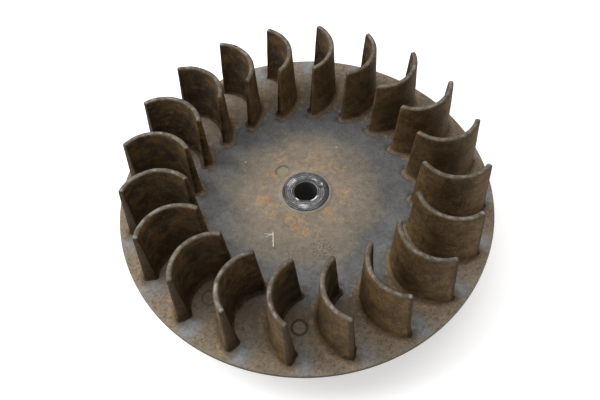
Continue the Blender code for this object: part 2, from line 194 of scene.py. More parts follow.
# Tones of the casting's face, with painted shade for its edge and the blades' feet and a painted highlight
# for its rim
SLATE = (0.093, 0.091, 0.087)
MIDDLE_TAN = (0.160, 0.138, 0.108)
HUB_TAN = (0.200, 0.165, 0.125)
FLOOR_BROWN = (0.146, 0.111, 0.074)
RIM_TAN = (0.214, 0.170, 0.119)
BARE_BLUE = (0.150, 0.154, 0.156)
WAKE_GREY = (0.208, 0.219, 0.228)
# A dark tone for grime, specks, pits and marks, and for painted shade round the blades' feet
DARK_GRIME_AND_SHADE = (0.045, 0.034, 0.023)
RUST_ORANGE = (0.300, 0.150, 0.052)
RUST_TAN = (0.310, 0.215, 0.120)
OLIVE_TAN = (0.230, 0.205, 0.125)
PALE_TAN = (0.225, 0.200, 0.170)
BRIGHT_METAL = (0.680, 0.670, 0.630)
COLLAR_TAN = (0.280, 0.240, 0.180)
RIM_HIGHLIGHT = (0.200, 0.180, 0.150)
EDGE_SHADE = (0.026, 0.021, 0.016)
# Tones of the blades: concave side with painted shade, convex side, foot, ends with painted shade, and top
# with painted highlights and glints
HOLLOW_SHADE_DARK = (0.022, 0.017, 0.011)
HOLLOW_SHADE_BROWN = (0.054, 0.037, 0.019)
HOLLOW_RUST = (0.110, 0.063, 0.024)
TOE_RUST = (0.085, 0.047, 0.019)
BACK_BROWN = (0.070, 0.045, 0.021)
BACK_TAN = (0.116, 0.073, 0.033)
BACK_STREAK = (0.034, 0.025, 0.015)
BACK_LOW = (0.165, 0.105, 0.051)
SPOT_ORANGE = (0.205, 0.105, 0.034)
HEEL_TAN = (0.150, 0.126, 0.096)
TOE_BROWN = (0.060, 0.045, 0.030)
END_SHADE_BROWN = (0.038, 0.024, 0.011)
TOP_BROWN = (0.090, 0.076, 0.059)
TOP_TAN = (0.158, 0.135, 0.106)
TOP_POLISH_HIGHLIGHT = (0.255, 0.240, 0.226)
TIP_GLINT = (0.330, 0.335, 0.330)
# Tones of the hub's steel, with its painted shade, highlights and glints, and of the other metals
STEEL_DARK = (0.041, 0.040, 0.041)
STEEL_GREY = (0.160, 0.158, 0.157)
STEEL_BLUE = (0.078, 0.082, 0.112)
STEEL_SHADE = (0.028, 0.030, 0.030)
STEEL_SCORE_AND_HIGHLIGHT = (0.400, 0.395, 0.385)
STEEL_GLINT = (0.900, 0.890, 0.850)
STEEL_PIT = (0.022, 0.021, 0.022)
BORE_SHADE_BROWN = (0.062, 0.057, 0.045)
STAIN_BROWN = (0.095, 0.072, 0.050)
IRON_PIT = (0.030, 0.027, 0.024)
METAL_RUST = (0.200, 0.095, 0.035)


# ---------------------------------------------------------------- mesh helpers


def ramp(value, low, high):
    """0 on low's side, 1 on high's side, and a smooth change in between."""
    share = np.clip((np.asarray(value, float) - low) / (high - low), 0, 1)
    return share * share * (3 - 2 * share)


def hump(value, middle, width):
    """1 at the middle, falling off like a bell to either side."""
    return np.exp(-(((value - middle) / width) ** 2))


def from_axis(points):
    return np.hypot(points[:, 0], points[:, 1])


def waves(points, size, seed, count=14):
    """Smooth, repeatable unevenness between about -1 and 1, with bumps of about the given size."""
    generator = np.random.default_rng(seed)
    directions = generator.normal(size=(count, points.shape[1]))
    directions /= np.linalg.norm(directions, axis=1, keepdims=True)
    lengths = size * generator.uniform(0.7, 1.6, count)
    phases = generator.uniform(0, 2 * pi, count)
    turns = points @ (directions / lengths[:, None]).T * 2 * pi + phases
    return np.sin(turns).sum(axis=1) / sqrt(count)


def quarter(count):
    """(1 - cos, 1 - sin) of equal steps up to a right angle, without the first one at 0."""
    turns = np.linspace(0, pi / 2, count + 1)[1:]
    return [(1 - cos(turn), 1 - sin(turn)) for turn in turns]


def around(radius, angle, height):
    return Vector((radius * cos(angle), radius * sin(angle), height))


def spun(points, angle):
    """Points turned about the shaft axis."""
    return points @ np.array([[cos(angle), sin(angle), 0], [-sin(angle), cos(angle), 0], [0, 0, 1]])


def linked(name, data):
    """A new object in the scene, from its data."""
    obj = bpy.data.objects.new(name, data)
    bpy.context.scene.collection.objects.link(obj)
    return obj


def mesh_object(name, points, faces, material, sharp_degrees, attributes=None):
    """A piece from points and faces, turned to face outwards, with per-point values for its material."""
    mesh = bpy.data.meshes.new(name)
    mesh.from_pydata(np.asarray(points).tolist(), [], faces)
    mesh.update()
    for label, values in (attributes or {}).items():
        layer = mesh.attributes.new(label, "FLOAT", "POINT")
        layer.data.foreach_set("value", np.asarray(values, np.float32))
    face_outwards(mesh)
    mesh.shade_smooth()
    mesh.set_sharp_from_angle(angle=radians(sharp_degrees))
    mesh.materials.append(material)
    return linked(name, mesh)


def face_outwards(mesh):
    """Flips a closed mesh whose faces point inwards."""
    mesh.calc_loop_triangles()
    corners = np.empty(len(mesh.loop_triangles) * 3, np.int32)
    mesh.loop_triangles.foreach_get("vertices", corners)
    places = np.empty(len(mesh.vertices) * 3, np.float32)
    mesh.vertices.foreach_get("co", places)
    a, b, c = places.reshape(-1, 3)[corners.reshape(-1, 3)].astype(float).transpose(1, 0, 2)
    if np.einsum("ij,ij->i", a, np.cross(b, c)).sum() < 0:
        mesh.flip_normals()


def circle(radius, height, count):
    angles = 2 * pi * np.arange(count) / count
    return np.stack([radius * np.cos(angles), radius * np.sin(angles), np.full(count, height)], axis=1)


def stitched(rings, closed=False, capped=False):
    """Joins rings of points into a skin. Neighbours have equal counts, or one has twice the other's."""
    starts = np.cumsum([0] + [len(ring) for ring in rings]).tolist()
    faces = []
    pairs = [(index, index + 1) for index in range(len(rings) - 1)]
    if closed:
        pairs.append((len(rings) - 1, 0))
    for first, second in pairs:
        faces += band(starts[first], len(rings[first]), starts[second], len(rings[second]))
    if capped:
        faces.append(list(range(starts[1]))[::-1])
        faces.append(list(range(starts[-2], starts[-1])))
    return np.concatenate(rings), faces


def band(start_a, count_a, start_b, count_b):
    """The faces between two rings, listed so that they all turn the same way."""
    if count_a == count_b:
        index = np.arange(count_a)
        after = (index + 1) % count_a
        corners = (start_a + index, start_a + after, start_b + after, start_b + index)
        return np.stack(corners, axis=1).tolist()
    fine, coarse, flip = (start_a, start_b, False) if count_a > count_b else (start_b, start_a, True)
    small = min(count_a, count_b)
    index = np.arange(small)
    left = fine + 2 * index
    middle = left + 1
    right = fine + (2 * index + 2) % (2 * small)
    near = coarse + index
    far = coarse + (index + 1) % small
    corners = ((left, middle, near), (middle, far, near), (middle, right, far))
    triangles = np.concatenate([np.stack(three, axis=1) for three in corners])
    if flip:
        triangles = triangles[:, ::-1]
    return triangles.tolist()


def finished(obj, node_name):
    """Puts a piece on the frame: it rides on the root and stands for its CAD node."""
    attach(obj, "root")
    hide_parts(node_name)
    return obj


def carve(obj, cutters):
    """Cuts the cutters out of a piece for good, and removes them."""
    for cutter in cutters:
        modifier = obj.modifiers.new("cut", "BOOLEAN")
        modifier.operation = "DIFFERENCE"
        modifier.solver = "EXACT"
        modifier.object = cutter
    bpy.context.view_layer.update()
    graph = bpy.context.evaluated_depsgraph_get()
    carved = bpy.data.meshes.new_from_object(obj.evaluated_get(graph), depsgraph=graph)
    obj.modifiers.clear()
    obj.data = carved
    for cutter in cutters:
        bpy.data.objects.remove(cutter, do_unlink=True)


def box_tool(low, high, angle):
    """A box cutter, given in the frame of a direction from the shaft axis."""
    mesh = bpy.data.meshes.new("box_tool")
    shape = bmesh.new()
    bmesh.ops.create_cube(shape, size=1.0)
    low, high = Vector(low), Vector(high)
    size = Matrix.Diagonal((*(high - low), 1.0))
    place = Matrix.Rotation(angle, 4, "Z") @ Matrix.Translation((low + high) / 2) @ size
    bmesh.ops.transform(shape, matrix=place, verts=shape.verts)
    shape.to_mesh(mesh)
    shape.free()
    return linked("box_tool", mesh)


def axis_matrix(start, end):
    """Places a shape made along +Z so that it starts at one point and runs to another."""
    turn = (Vector(end) - Vector(start)).to_track_quat("Z", "Y").to_matrix().to_4x4()
    return Matrix.Translation(start) @ turn


def rod_tool(radius, start, end, chamfer=0.0):
    """A round cutter from start to end; its start end flares out where a chamfer is asked for."""
    profile = [(radius + chamfer, 0.0)]
    if chamfer:
        profile += [(radius + chamfer, OUTSIDE_REACH), (radius, OUTSIDE_REACH + chamfer)]
    profile.append((radius, (Vector(end) - Vector(start)).length))
    points, faces = stitched([circle(*place, ROD_POINTS) for place in profile], capped=True)
    mesh = bpy.data.meshes.new("rod_tool")
    mesh.from_pydata(points.tolist(), [], faces)
    mesh.transform(axis_matrix(start, end))
    face_outwards(mesh)
    return linked("rod_tool", mesh)


def soften(obj, width):
    """Rounds a piece's edges for good."""
    shape = bmesh.new()
    shape.from_mesh(obj.data)
    edges = [edge for edge in shape.edges if edge.calc_face_angle(0.0) > radians(30)]
    bmesh.ops.bevel(
        shape, geom=edges, offset=width, segments=3, profile=0.5, affect="EDGES", clamp_overlap=True
    )
    shape.to_mesh(obj.data)
    shape.free()
    obj.data.shade_smooth()
    obj.data.set_sharp_from_angle(angle=radians(35))


# ------------------------------------------------------------ material helpers


class Finish:
    """One node material, built up in layers. A method that adds a node returns the socket of its result."""

    def __init__(self, name):
        self.material = bpy.data.materials.new(name)
        self.material.use_nodes = True
        self.tree = self.material.node_tree
        self.places = self.node("TexCoord", "Object", {})
        self.colour = None
        self.relief = None

    def put(self, socket, value):
        if isinstance(value, bpy.types.NodeSocket):
            self.tree.links.new(value, socket)
        elif isinstance(value, tuple) and socket.type == "RGBA":
            socket.default_value = (*value, 1.0)
        else:
            socket.default_value = value

    def node(self, kind, output, inputs, **settings):
        node = self.tree.nodes.new("ShaderNode" + kind)
        for label, value in settings.items():
            setattr(node, label, value)
        for socket, value in inputs.items():
            self.put(node.inputs[socket], value)
        return node.outputs[output]

    def maths(self, operation, first, *others):
        for other in others:
            first = self.node("Math", 0, {0: first, 1: other}, operation=operation)
        return first

    def product(self, *values):
        return self.maths("MULTIPLY", *values)

    def total(self, *values):
        return self.maths("ADD", *values)

    def less(self, first, second):
        return self.maths("SUBTRACT", first, second)

    def largest(self, first, second):
        return self.maths("MAXIMUM", first, second)

    def size_of(self, value):
        return self.maths("ABSOLUTE", value, 0.0)

    def plus(self, value, other, share):
        """A value, and a share of another one on top."""
        return self.total(value, self.product(other, share))

    def stretched(self, scale, turn=(0.0, 0.0, 0.0)):
        return self.node("Mapping", "Vector", {"Vector": self.places, "Scale": scale, "Rotation": turn})

    def noise(self, size, detail=3, roughness=0.55, vector=None):
        vector = vector or self.places
        inputs = {"Scale": 1.0 / size, "Detail": detail, "Roughness": roughness, "Vector": vector}
        return self.node("TexNoise", "Fac", inputs)

    def cells(self, size):
        """Distance to the nearest of scattered points, in cell sizes."""
        return self.node("TexVoronoi", "Distance", {"Scale": 1.0 / size, "Vector": self.places})

    def grooves(self, pitch, detail, sway):
        """Noise in rings about the shaft axis, which sway by the given distance."""
        x, y, z = self.axes()
        radius = self.maths("SQRT", self.total(self.product(x, x), self.product(y, y)), 0.0)
        place = self.total(radius, self.product(z, 0.7), sway)
        inputs = {"W": place, "Scale": 1.0 / pitch, "Detail": detail}
        return self.node("TexNoise", "Fac", inputs, noise_dimensions="1D")

    def ramp(self, value, low, high, start=0.0, end=1.0):
        """start below low, end above high, and a smooth change in between."""
        inputs = {"Value": value, "From Min": low, "From Max": high, "To Min": start, "To Max": end}
        return self.node("MapRange", "Result", inputs, interpolation_type="SMOOTHSTEP")

    def swing(self, noise, reach, middle=1.0):
        """Noise as a change either way from a middle value."""
        return self.ramp(noise, 0.2, 0.8, middle - reach, middle + reach)

    def mix(self, share, first, second, blend="MIX"):
        inputs = {"Factor": share, 6: first, 7: second}
        return self.node("Mix", 2, inputs, data_type="RGBA", blend_type=blend)

    def level(self, share, first, second):
        return self.node("Mix", 0, {"Factor": share, 2: first, 3: second}, data_type="FLOAT")

    def value(self, name):
        """One of the mesh's per-point values."""
        return self.node("Attribute", "Fac", {}, attribute_name=name)

    def axes(self):
        return self.node("SeparateXYZ", 0, {0: self.places}).node.outputs

    def distance_to(self, point):
        """Distance from a point on the fan face, measured level."""
        flat = self.node("VectorMath", 0, {0: self.places, 1: (1.0, 1.0, 0.0)}, operation="MULTIPLY")
        return self.node("VectorMath", "Value", {0: flat, 1: (*point, 0.0)}, operation="DISTANCE")

    def ring_mark(self, point, radius, width):
        """1 on a ring drawn round a point, falling to 0 within its width."""
        off = self.size_of(self.less(self.distance_to(point), radius))
        return self.ramp(off, 0.3 * width, width, 1.0, 0.0)

    def stroke(self, middle, length, width, turn):
        """1 on a straight scratch through a point, at an angle to X."""
        x, y, _ = self.axes()
        from_x = self.less(x, middle[0])
        from_y = self.less(y, middle[1])
        along = self.plus(self.product(from_x, cos(turn)), from_y, sin(turn))
        across = self.plus(self.product(from_x, -sin(turn)), from_y, cos(turn))
        narrow = self.ramp(self.size_of(across), 0.4 * width, width, 1.0, 0.0)
        short = self.ramp(self.size_of(along), 0.42 * length, 0.5 * length, 1.0, 0.0)
        return self.product(narrow, short)

    def paint(self, tone, *shares):
        """Lays a tone over the colour so far, by the product of its shares."""
        self.colour = self.mix(self.product(*shares), self.colour, tone)

    def shade(self, *factors):
        """Multiplies the colour so far by the factors."""
        grey = self.product(*factors)
        tone = self.node("CombineColor", 0, {0: grey, 1: grey, 2: grey})
        self.colour = self.mix(1.0, self.colour, tone, "MULTIPLY")

    def bump(self, height, depth):
        """Lays relief whose height runs over the given depth on the relief so far."""
        inputs = {"Strength": 1.0, "Distance": depth, "Height": height}
        if self.relief:
            inputs["Normal"] = self.relief
        self.relief = self.node("Bump", "Normal", inputs)

    def done(self, roughness, metallic, specular):
        shader = self.tree.nodes["Principled BSDF"]
        shader.inputs["Specular IOR Level"].default_value = specular
        self.put(shader.inputs["Base Color"], self.colour)
        self.put(shader.inputs["Roughness"], roughness)
        self.put(shader.inputs["Metallic"], metallic)
        if self.relief:
            self.put(shader.inputs["Normal"], self.relief)
        return self.material


# ------------------------------------------------------------------- finishes


def disc_finish():
    """Cast alloy: brown about the hub and the rim, scoured in between, with rust, grime and marks, painted
    shade at the blades' feet, on the edge wall and under the rim, and a painted highlight along the rim.
    """
    f = Finish("cast_alloy_face")
    patch = f.noise(9 * MM, 4, 0.65)
    blotch = f.noise(3.2 * MM, 4, 0.7)
    fine = f.noise(1.1 * MM, 4, 0.75)
    grain = f.noise(0.5 * MM, 2, 0.6)
    rust = f.value("rust")
    outer = f.value("outer")
    on_face = f.value("on_face")
    patch_swing = f.less(patch, 0.5)

    uneven = f.plus(f.plus(f.value("warm"), patch_swing, 0.42), f.less(blotch, 0.5), 0.26)
    f.colour = f.mix(f.ramp(uneven, 0.0, 0.5), SLATE, MIDDLE_TAN)
    f.paint(HUB_TAN, f.ramp(uneven, 0.5, 1.0))
    cast = f.mix(f.ramp(f.plus(outer, patch_swing, 0.5), 0.35, 1.0), FLOOR_BROWN, RIM_TAN)
    f.paint(cast, f.ramp(outer, 0.02, 0.3))

    scoured = f.product(f.value("bare"), f.ramp(f.plus(patch, fine, 0.35), 0.42, 0.74))
    f.paint(BARE_BLUE, scoured, 0.85)
    f.paint(RUST_TAN, f.ramp(f.plus(f.noise(3.8 * MM, 5, 0.75), rust, 0.22), 0.61, 0.76), 0.75)
    f.paint(RUST_ORANGE, f.ramp(f.plus(f.noise(1.7 * MM, 5, 0.8), rust, 0.20), 0.64, 0.78), 0.58)
    specks = f.noise(1.5 * MM, 4, 0.75, f.stretched((1.0, 1.0, 1.0), (0.4, 0.9, 0.2)))
    f.paint(DARK_GRIME_AND_SHADE, f.ramp(f.plus(specks, outer, 0.10), 0.60, 0.72), 0.55)
    pits = f.product(f.ramp(f.cells(2.1 * MM), 0.06, 0.24, 1.0, 0.0), f.ramp(patch, 0.46, 0.6))
    f.paint(DARK_GRIME_AND_SHADE, pits, 0.6)
    f.paint(DARK_GRIME_AND_SHADE, f.value("pip"), 0.38)
    # Painted contact shade round the blades' feet, strongest on their convex side.
    f.paint(DARK_GRIME_AND_SHADE, f.value("foot"), f.ramp(fine, 0.15, 0.6), 0.85)
    f.paint(WAKE_GREY, f.value("wake"), f.ramp(f.total(blotch, fine), 0.6, 1.1, 0.45, 1.0), 0.9)

    hub_mark_strength = f.ramp(f.distance_to(HUB_MARK_SHADE), 3.0 * MM, 7.0 * MM, 0.75, 0.05)
    rings = f.total(
        f.product(f.ring_mark(HUB_MARK, 4.1 * MM, 0.9 * MM), hub_mark_strength),
        f.ring_mark(BLADE_MARK, 3.9 * MM, 0.95 * MM),
        f.product(f.ring_mark(FAINT_MARKS[0], 3.6 * MM, 0.7 * MM), 0.22),
        f.product(f.ring_mark(FAINT_MARKS[1], 4.0 * MM, 0.8 * MM), 0.6),
    )
    rings = f.product(rings, on_face)
    f.paint(DARK_GRIME_AND_SHADE, rings, f.ramp(fine, 0.2, 0.6, 0.45, 0.85))
    f.paint(OLIVE_TAN, f.ramp(f.distance_to(HUB_MARK), 2.6 * MM, 3.3 * MM, 0.65, 0.0), on_face)
    in_blade_mark = f.ramp(f.distance_to(BLADE_MARK), 2.6 * MM, 3.4 * MM, 0.6, 0.0)
    f.paint(PALE_TAN, in_blade_mark, on_face, f.ramp(fine, 0.35, 0.6))
    scratches = f.total(
        f.stroke((SCRATCH_X, -27.5 * MM), 9.0 * MM, 0.24 * MM, radians(90)),
        f.stroke((SCRATCH_X - 2.4 * MM, -24.2 * MM), 4.8 * MM, 0.17 * MM, radians(-9)),
        f.stroke((SCRATCH_X - 2.4 * MM, -25.2 * MM), 4.2 * MM, 0.10 * MM, radians(12)),
    )
    chips = f.ramp(f.cells(17 * MM), 0.012, 0.034, 1.0, 0.0)
    scratches = f.largest(f.product(scratches, f.ramp(fine, 0.22, 0.45)), f.product(chips, 0.8))
    scratches = f.product(scratches, on_face)
    f.paint(BRIGHT_METAL, scratches, 0.95)

    broad = f.ramp(f.noise(30 * MM, 4, 0.6), 0.25, 0.75, 0.92, 1.08)
    f.shade(broad, f.swing(blotch, 0.20), f.swing(fine, 0.20), f.swing(grain, 0.10))
    f.paint(COLLAR_TAN, f.value("lip"), f.ramp(blotch, 0.35, 0.6, 0.25, 0.65))
    # A painted highlight along the top of the rim.
    f.paint(RIM_HIGHLIGHT, f.value("rim"), 0.15)
    # Painted shade on the edge wall and under the rim.
    f.paint(EDGE_SHADE, f.value("edge"), 0.9)

    f.bump(f.noise(7 * MM, 3, 0.5), 0.12 * MM)
    f.bump(blotch, 0.16 * MM)
    f.bump(fine, 0.16 * MM)
    f.bump(grain, 0.05 * MM)
    f.bump(f.less(1.0, pits), 0.16 * MM)
    f.bump(f.less(1.0, rings), 0.22 * MM)
    roughness = f.level(scoured, f.swing(fine, 0.10, 0.70), 0.46)
    metallic = f.largest(f.level(scoured, 0.05, 0.35), f.product(scratches, 0.5))
    return f.done(roughness, metallic, 0.25)


def blade_finish():
    """Cast alloy under grime: hollows darkened by painted shade, browner backs, worn top edges with painted
    highlights, and outer ends darkened by painted shade.
    """
    f = Finish("cast_alloy_blades")
    height = f.value("height")
    side = f.value("side")
    top = f.value("top")
    lot = f.value("lot")
    along = f.value("along")
    streaks = f.noise(2.4 * MM, 3, 0.6, f.stretched((1.0, 1.0, 0.14)))
    layers = f.noise(6.5 * MM, 4, 0.55, f.stretched((0.8, 0.8, 1.0)))
    ripples = f.noise(2.4 * MM, 3, 0.6, f.stretched((0.35, 0.35, 1.0)))
    patch = f.noise(11 * MM, 4, 0.6)
    fine = f.noise(1.2 * MM, 4, 0.75)
    grain = f.noise(0.5 * MM, 2, 0.6)
    on_back = f.ramp(side, -0.3, 0.4)

    # The concave side is painted in darker tones than the convex side, as painted shade, with rust layered
    # on.
    f.colour = f.mix(f.ramp(patch, 0.34, 0.66), HOLLOW_SHADE_DARK, HOLLOW_SHADE_BROWN)
    f.paint(HOLLOW_RUST, f.ramp(f.plus(layers, height, 0.12), 0.48, 0.76), 0.70)
    f.paint(TOE_RUST, f.ramp(along, 0.45, 0.9), f.ramp(height, 0.5, 0.1), f.ramp(fine, 0.3, 0.7), 0.6)
    shaded_hollow = f.colour
    f.colour = f.mix(f.ramp(patch, 0.36, 0.64), BACK_BROWN, BACK_TAN)
    f.paint(BACK_STREAK, f.ramp(streaks, 0.52, 0.72), 0.55)
    f.paint(BACK_LOW, f.ramp(height, 0.55, 0.05), f.ramp(layers, 0.35, 0.65), 0.6)
    f.colour = f.mix(on_back, shaded_hollow, f.colour)

    spots = f.plus(f.noise(2.2 * MM, 5, 0.8), lot, 0.08)
    f.paint(SPOT_ORANGE, f.ramp(spots, 0.60, 0.74), 0.65)
    foot_tone = f.mix(f.ramp(along, 0.02, 0.30), HEEL_TAN, FLOOR_BROWN)
    foot_tone = f.mix(f.ramp(along, 0.75, 0.95), foot_tone, TOE_BROWN)
    f.paint(foot_tone, f.ramp(height, 0.055, 0.005), f.ramp(side, -0.6, 0.6, 0.12, 0.6))
    # Painted shade on the blades' outer end faces.
    f.paint(END_SHADE_BROWN, f.ramp(along, 0.965, 0.995), 0.85)
    clouds = f.ramp(f.noise(3.4 * MM, 3, 0.6), 0.25, 0.75, 0.82, 1.26)
    ripple_shade = f.level(on_back, f.ramp(ripples, 0.3, 0.7, 0.90, 1.10), 1.0)
    f.shade(clouds, ripple_shade, f.swing(fine, 0.38), f.swing(grain, 0.18))

    mottle = f.noise(2.6 * MM, 4, 0.7)
    worn = f.product(f.ramp(top, 0.3, 0.95), f.ramp(mottle, 0.36, 0.60, 0.55, 1.0))
    f.paint(f.mix(f.ramp(f.noise(5 * MM, 4, 0.65), 0.40, 0.62), TOP_BROWN, TOP_TAN), worn)
    # Streaks along the middle of the crest: polished metal, partly a painted highlight.
    middle = f.product(f.ramp(along, 0.25, 0.6), f.ramp(along, 0.88, 0.99, 1.0, 0.3))
    rubbed_and_glint = f.plus(f.plus(f.noise(3.2 * MM, 3, 0.6), middle, 0.10), lot, 0.04)
    polish_highlight = f.product(f.ramp(top, 0.80, 1.0), f.ramp(rubbed_and_glint, 0.54, 0.74))
    f.paint(TOP_POLISH_HIGHLIGHT, polish_highlight, 0.5)
    # Painted glints at the outer tips of the top edges.
    tip = f.product(f.ramp(along, 0.978, 0.996), f.ramp(top, 0.6, 0.95))
    f.paint(TIP_GLINT, tip, f.ramp(lot, 0.1, 0.9, 0.15, 0.8), 0.6)

    f.bump(f.noise(6 * MM, 3, 0.5), 0.20 * MM)
    f.bump(f.noise(2.2 * MM, 3, 0.6), 0.16 * MM)
    f.bump(fine, 0.18 * MM)
    f.bump(grain, 0.05 * MM)
    roughness = f.level(f.largest(f.product(worn, 0.6), polish_highlight), f.swing(fine, 0.10, 0.72), 0.40)
    metallic = f.largest(f.product(polish_highlight, 0.55), f.product(worn, 0.35))
    return f.done(roughness, metallic, 0.11)


def ring_finish():
    """Lathe-turned iron: fine rings about the shaft axis, stains and pits."""
    f = Finish("ring_iron")
    grooves = f.grooves(0.5 * MM, 3.0, f.product(f.noise(9 * MM, 2), 0.5 * MM))
    fine = f.noise(0.9 * MM, 4, 0.75)
    patch = f.noise(4.5 * MM, 4, 0.65)
    stains = f.ramp(f.plus(patch, fine, 0.4), 0.62, 0.86)
    pits = f.product(f.ramp(f.cells(1.3 * MM), 0.05, 0.24, 1.0, 0.0), f.ramp(patch, 0.45, 0.6))
    f.colour = f.mix(f.ramp(grooves, 0.3, 0.7), (0.13, 0.118, 0.105), (0.20, 0.185, 0.17))
    f.paint(STAIN_BROWN, stains, 0.7)
    f.paint(IRON_PIT, pits, 0.8)
    f.shade(f.swing(fine, 0.35))
    f.bump(grooves, 0.05 * MM)
    f.bump(f.less(fine, pits), 0.10 * MM)
    return f.done(f.level(stains, f.swing(fine, 0.11, 0.53), 0.8), f.level(stains, 0.7, 0.35), 0.4)


def hub_finish():
    """Turned steel scored by the washer that was clamped on it: rings, dents and bright wear, with painted
    highlights on worn arcs, painted glints on the bore's chamfer, and painted shade on dark arcs and in the
    bore.
    """
    f = Finish("turned_steel")
    patch = f.noise(3.0 * MM, 4, 0.65)
    fine = f.noise(0.9 * MM, 4, 0.75)
    grooves = f.grooves(0.9 * MM, 4.0, f.product(patch, 1.6 * MM))
    inside = f.value("inside")
    bright = f.ramp(f.plus(f.total(grooves, fine), f.value("shine"), 0.31), 1.14, 1.50)
    pits = f.product(f.ramp(f.cells(1.2 * MM), 0.08, 0.28, 1.0, 0.0), f.ramp(patch, 0.42, 0.58))
    f.colour = f.mix(f.ramp(f.plus(grooves, patch, 0.6), 0.68, 0.92), STEEL_DARK, STEEL_GREY)
    f.paint(STEEL_BLUE, f.ramp(f.noise(5.0 * MM, 3, 0.6), 0.50, 0.68, 0.0, 0.38))
    # Painted shade on dark arcs, painted highlights on scored rings and worn arcs, and painted glints on
    # the bore's chamfer.
    f.paint(STEEL_SHADE, f.value("shaded"), 0.8)
    f.paint(STEEL_SCORE_AND_HIGHLIGHT, bright, 0.9)
    f.paint(STEEL_GLINT, f.value("glint"))
    # Painted shade in the bore.
    f.paint(BORE_SHADE_BROWN, inside)
    f.paint(STEEL_PIT, pits, 0.85)
    f.shade(f.swing(fine, 0.40))
    f.bump(grooves, 0.10 * MM)
    f.bump(f.less(fine, pits), 0.16 * MM)
    roughness = f.level(inside, f.level(bright, 0.42, 0.28), 0.8)
    metallic = f.product(f.level(bright, 0.6, 0.9), f.less(1.0, f.product(inside, 0.8)))
    return f.done(roughness, metallic, 0.3)


def metal_finish(name, colour, dark, roughness, metallic, rust=0.5, size=0.6):
    """Cast, ground or plated metal with tarnish, small rust spots and a grain of a size in millimetres."""
    f = Finish(name)
    patch = f.noise(8 * MM, 4, 0.6)
    fine = f.noise(1.3 * MM, 4, 0.7)
    grain = f.noise(size * MM, 3, 0.6)
    spots = f.ramp(f.plus(f.noise(2.6 * MM, 5, 0.8), patch, 0.3), 0.72, 0.86)
    f.colour = f.mix(f.ramp(patch, 0.35, 0.65), dark, colour)
    f.paint(METAL_RUST, spots, rust)
    f.shade(f.level(0.5, f.swing(fine, 0.25), f.swing(grain, 0.18)))
    f.bump(fine, 0.06 * MM)
    f.bump(grain, 0.04 * MM)
    shine = f.level(spots, f.swing(fine, 0.09, roughness + 0.03), 0.85)
    return f.done(shine, f.level(spots, metallic, 0.1), 0.4)


# ---------------------------------------------------------------- fan casting


def blade_places(x, y):
    """For points on the disc: distance to the nearest blade's foot, which side of it they are on,
    and their place in that blade's own frame, tangential (clockwise) and radial."""
    low = BLADE_HALF_ANGLE + BLADE_INNER_DRAFT / BLADE_ARC
    high = BLADE_HALF_ANGLE + BLADE_OUTER_DRAFT / BLADE_ARC
    radius = np.hypot(x, y)
    turn = np.arctan2(y, x)
    nearest = np.round((FIRST_BLADE_ANGLE - turn) / BLADE_PITCH)
    best = np.ones((4, len(x)))
    for shift in (-1, 0, 1):
        off = FIRST_BLADE_ANGLE - (nearest + shift) * BLADE_PITCH - turn
        across = radius * np.sin(off)
        out = radius * np.cos(off)
        from_x = across - (BLADE_BULGE - BLADE_ARC)
        from_y = out - BLADE_MIDDLE
        held = np.clip(np.arctan2(from_y, from_x), -low, high)
        thickness = BLADE_BASE_THICKNESS + BLADE_TOE_THICKENING * ((held + low) / (low + high)) ** 2
        away = np.hypot(from_x - BLADE_ARC * np.cos(held), from_y - BLADE_ARC * np.sin(held))
        side = np.sign(np.hypot(from_x, from_y) - BLADE_ARC)
        away -= thickness / 2
        best = np.where(away < best[0], [away, side, across, out], best)
    return best


def face_height(radius):
    """Height of the fan face at a radius: flat, then a low dome with a collar up against the hub."""
    dome = DOME_RISE * ramp(radius, DOME_RADIUS, HUB_RADIUS)
    rise = HUB_TOP_Z - COLLAR_DROP - FACE_Z - DOME_RISE
    collar = rise * ramp(radius, HUB_RADIUS + COLLAR_WIDTH, HUB_RADIUS + 0.4 * MM)
    return FACE_Z + dome + collar


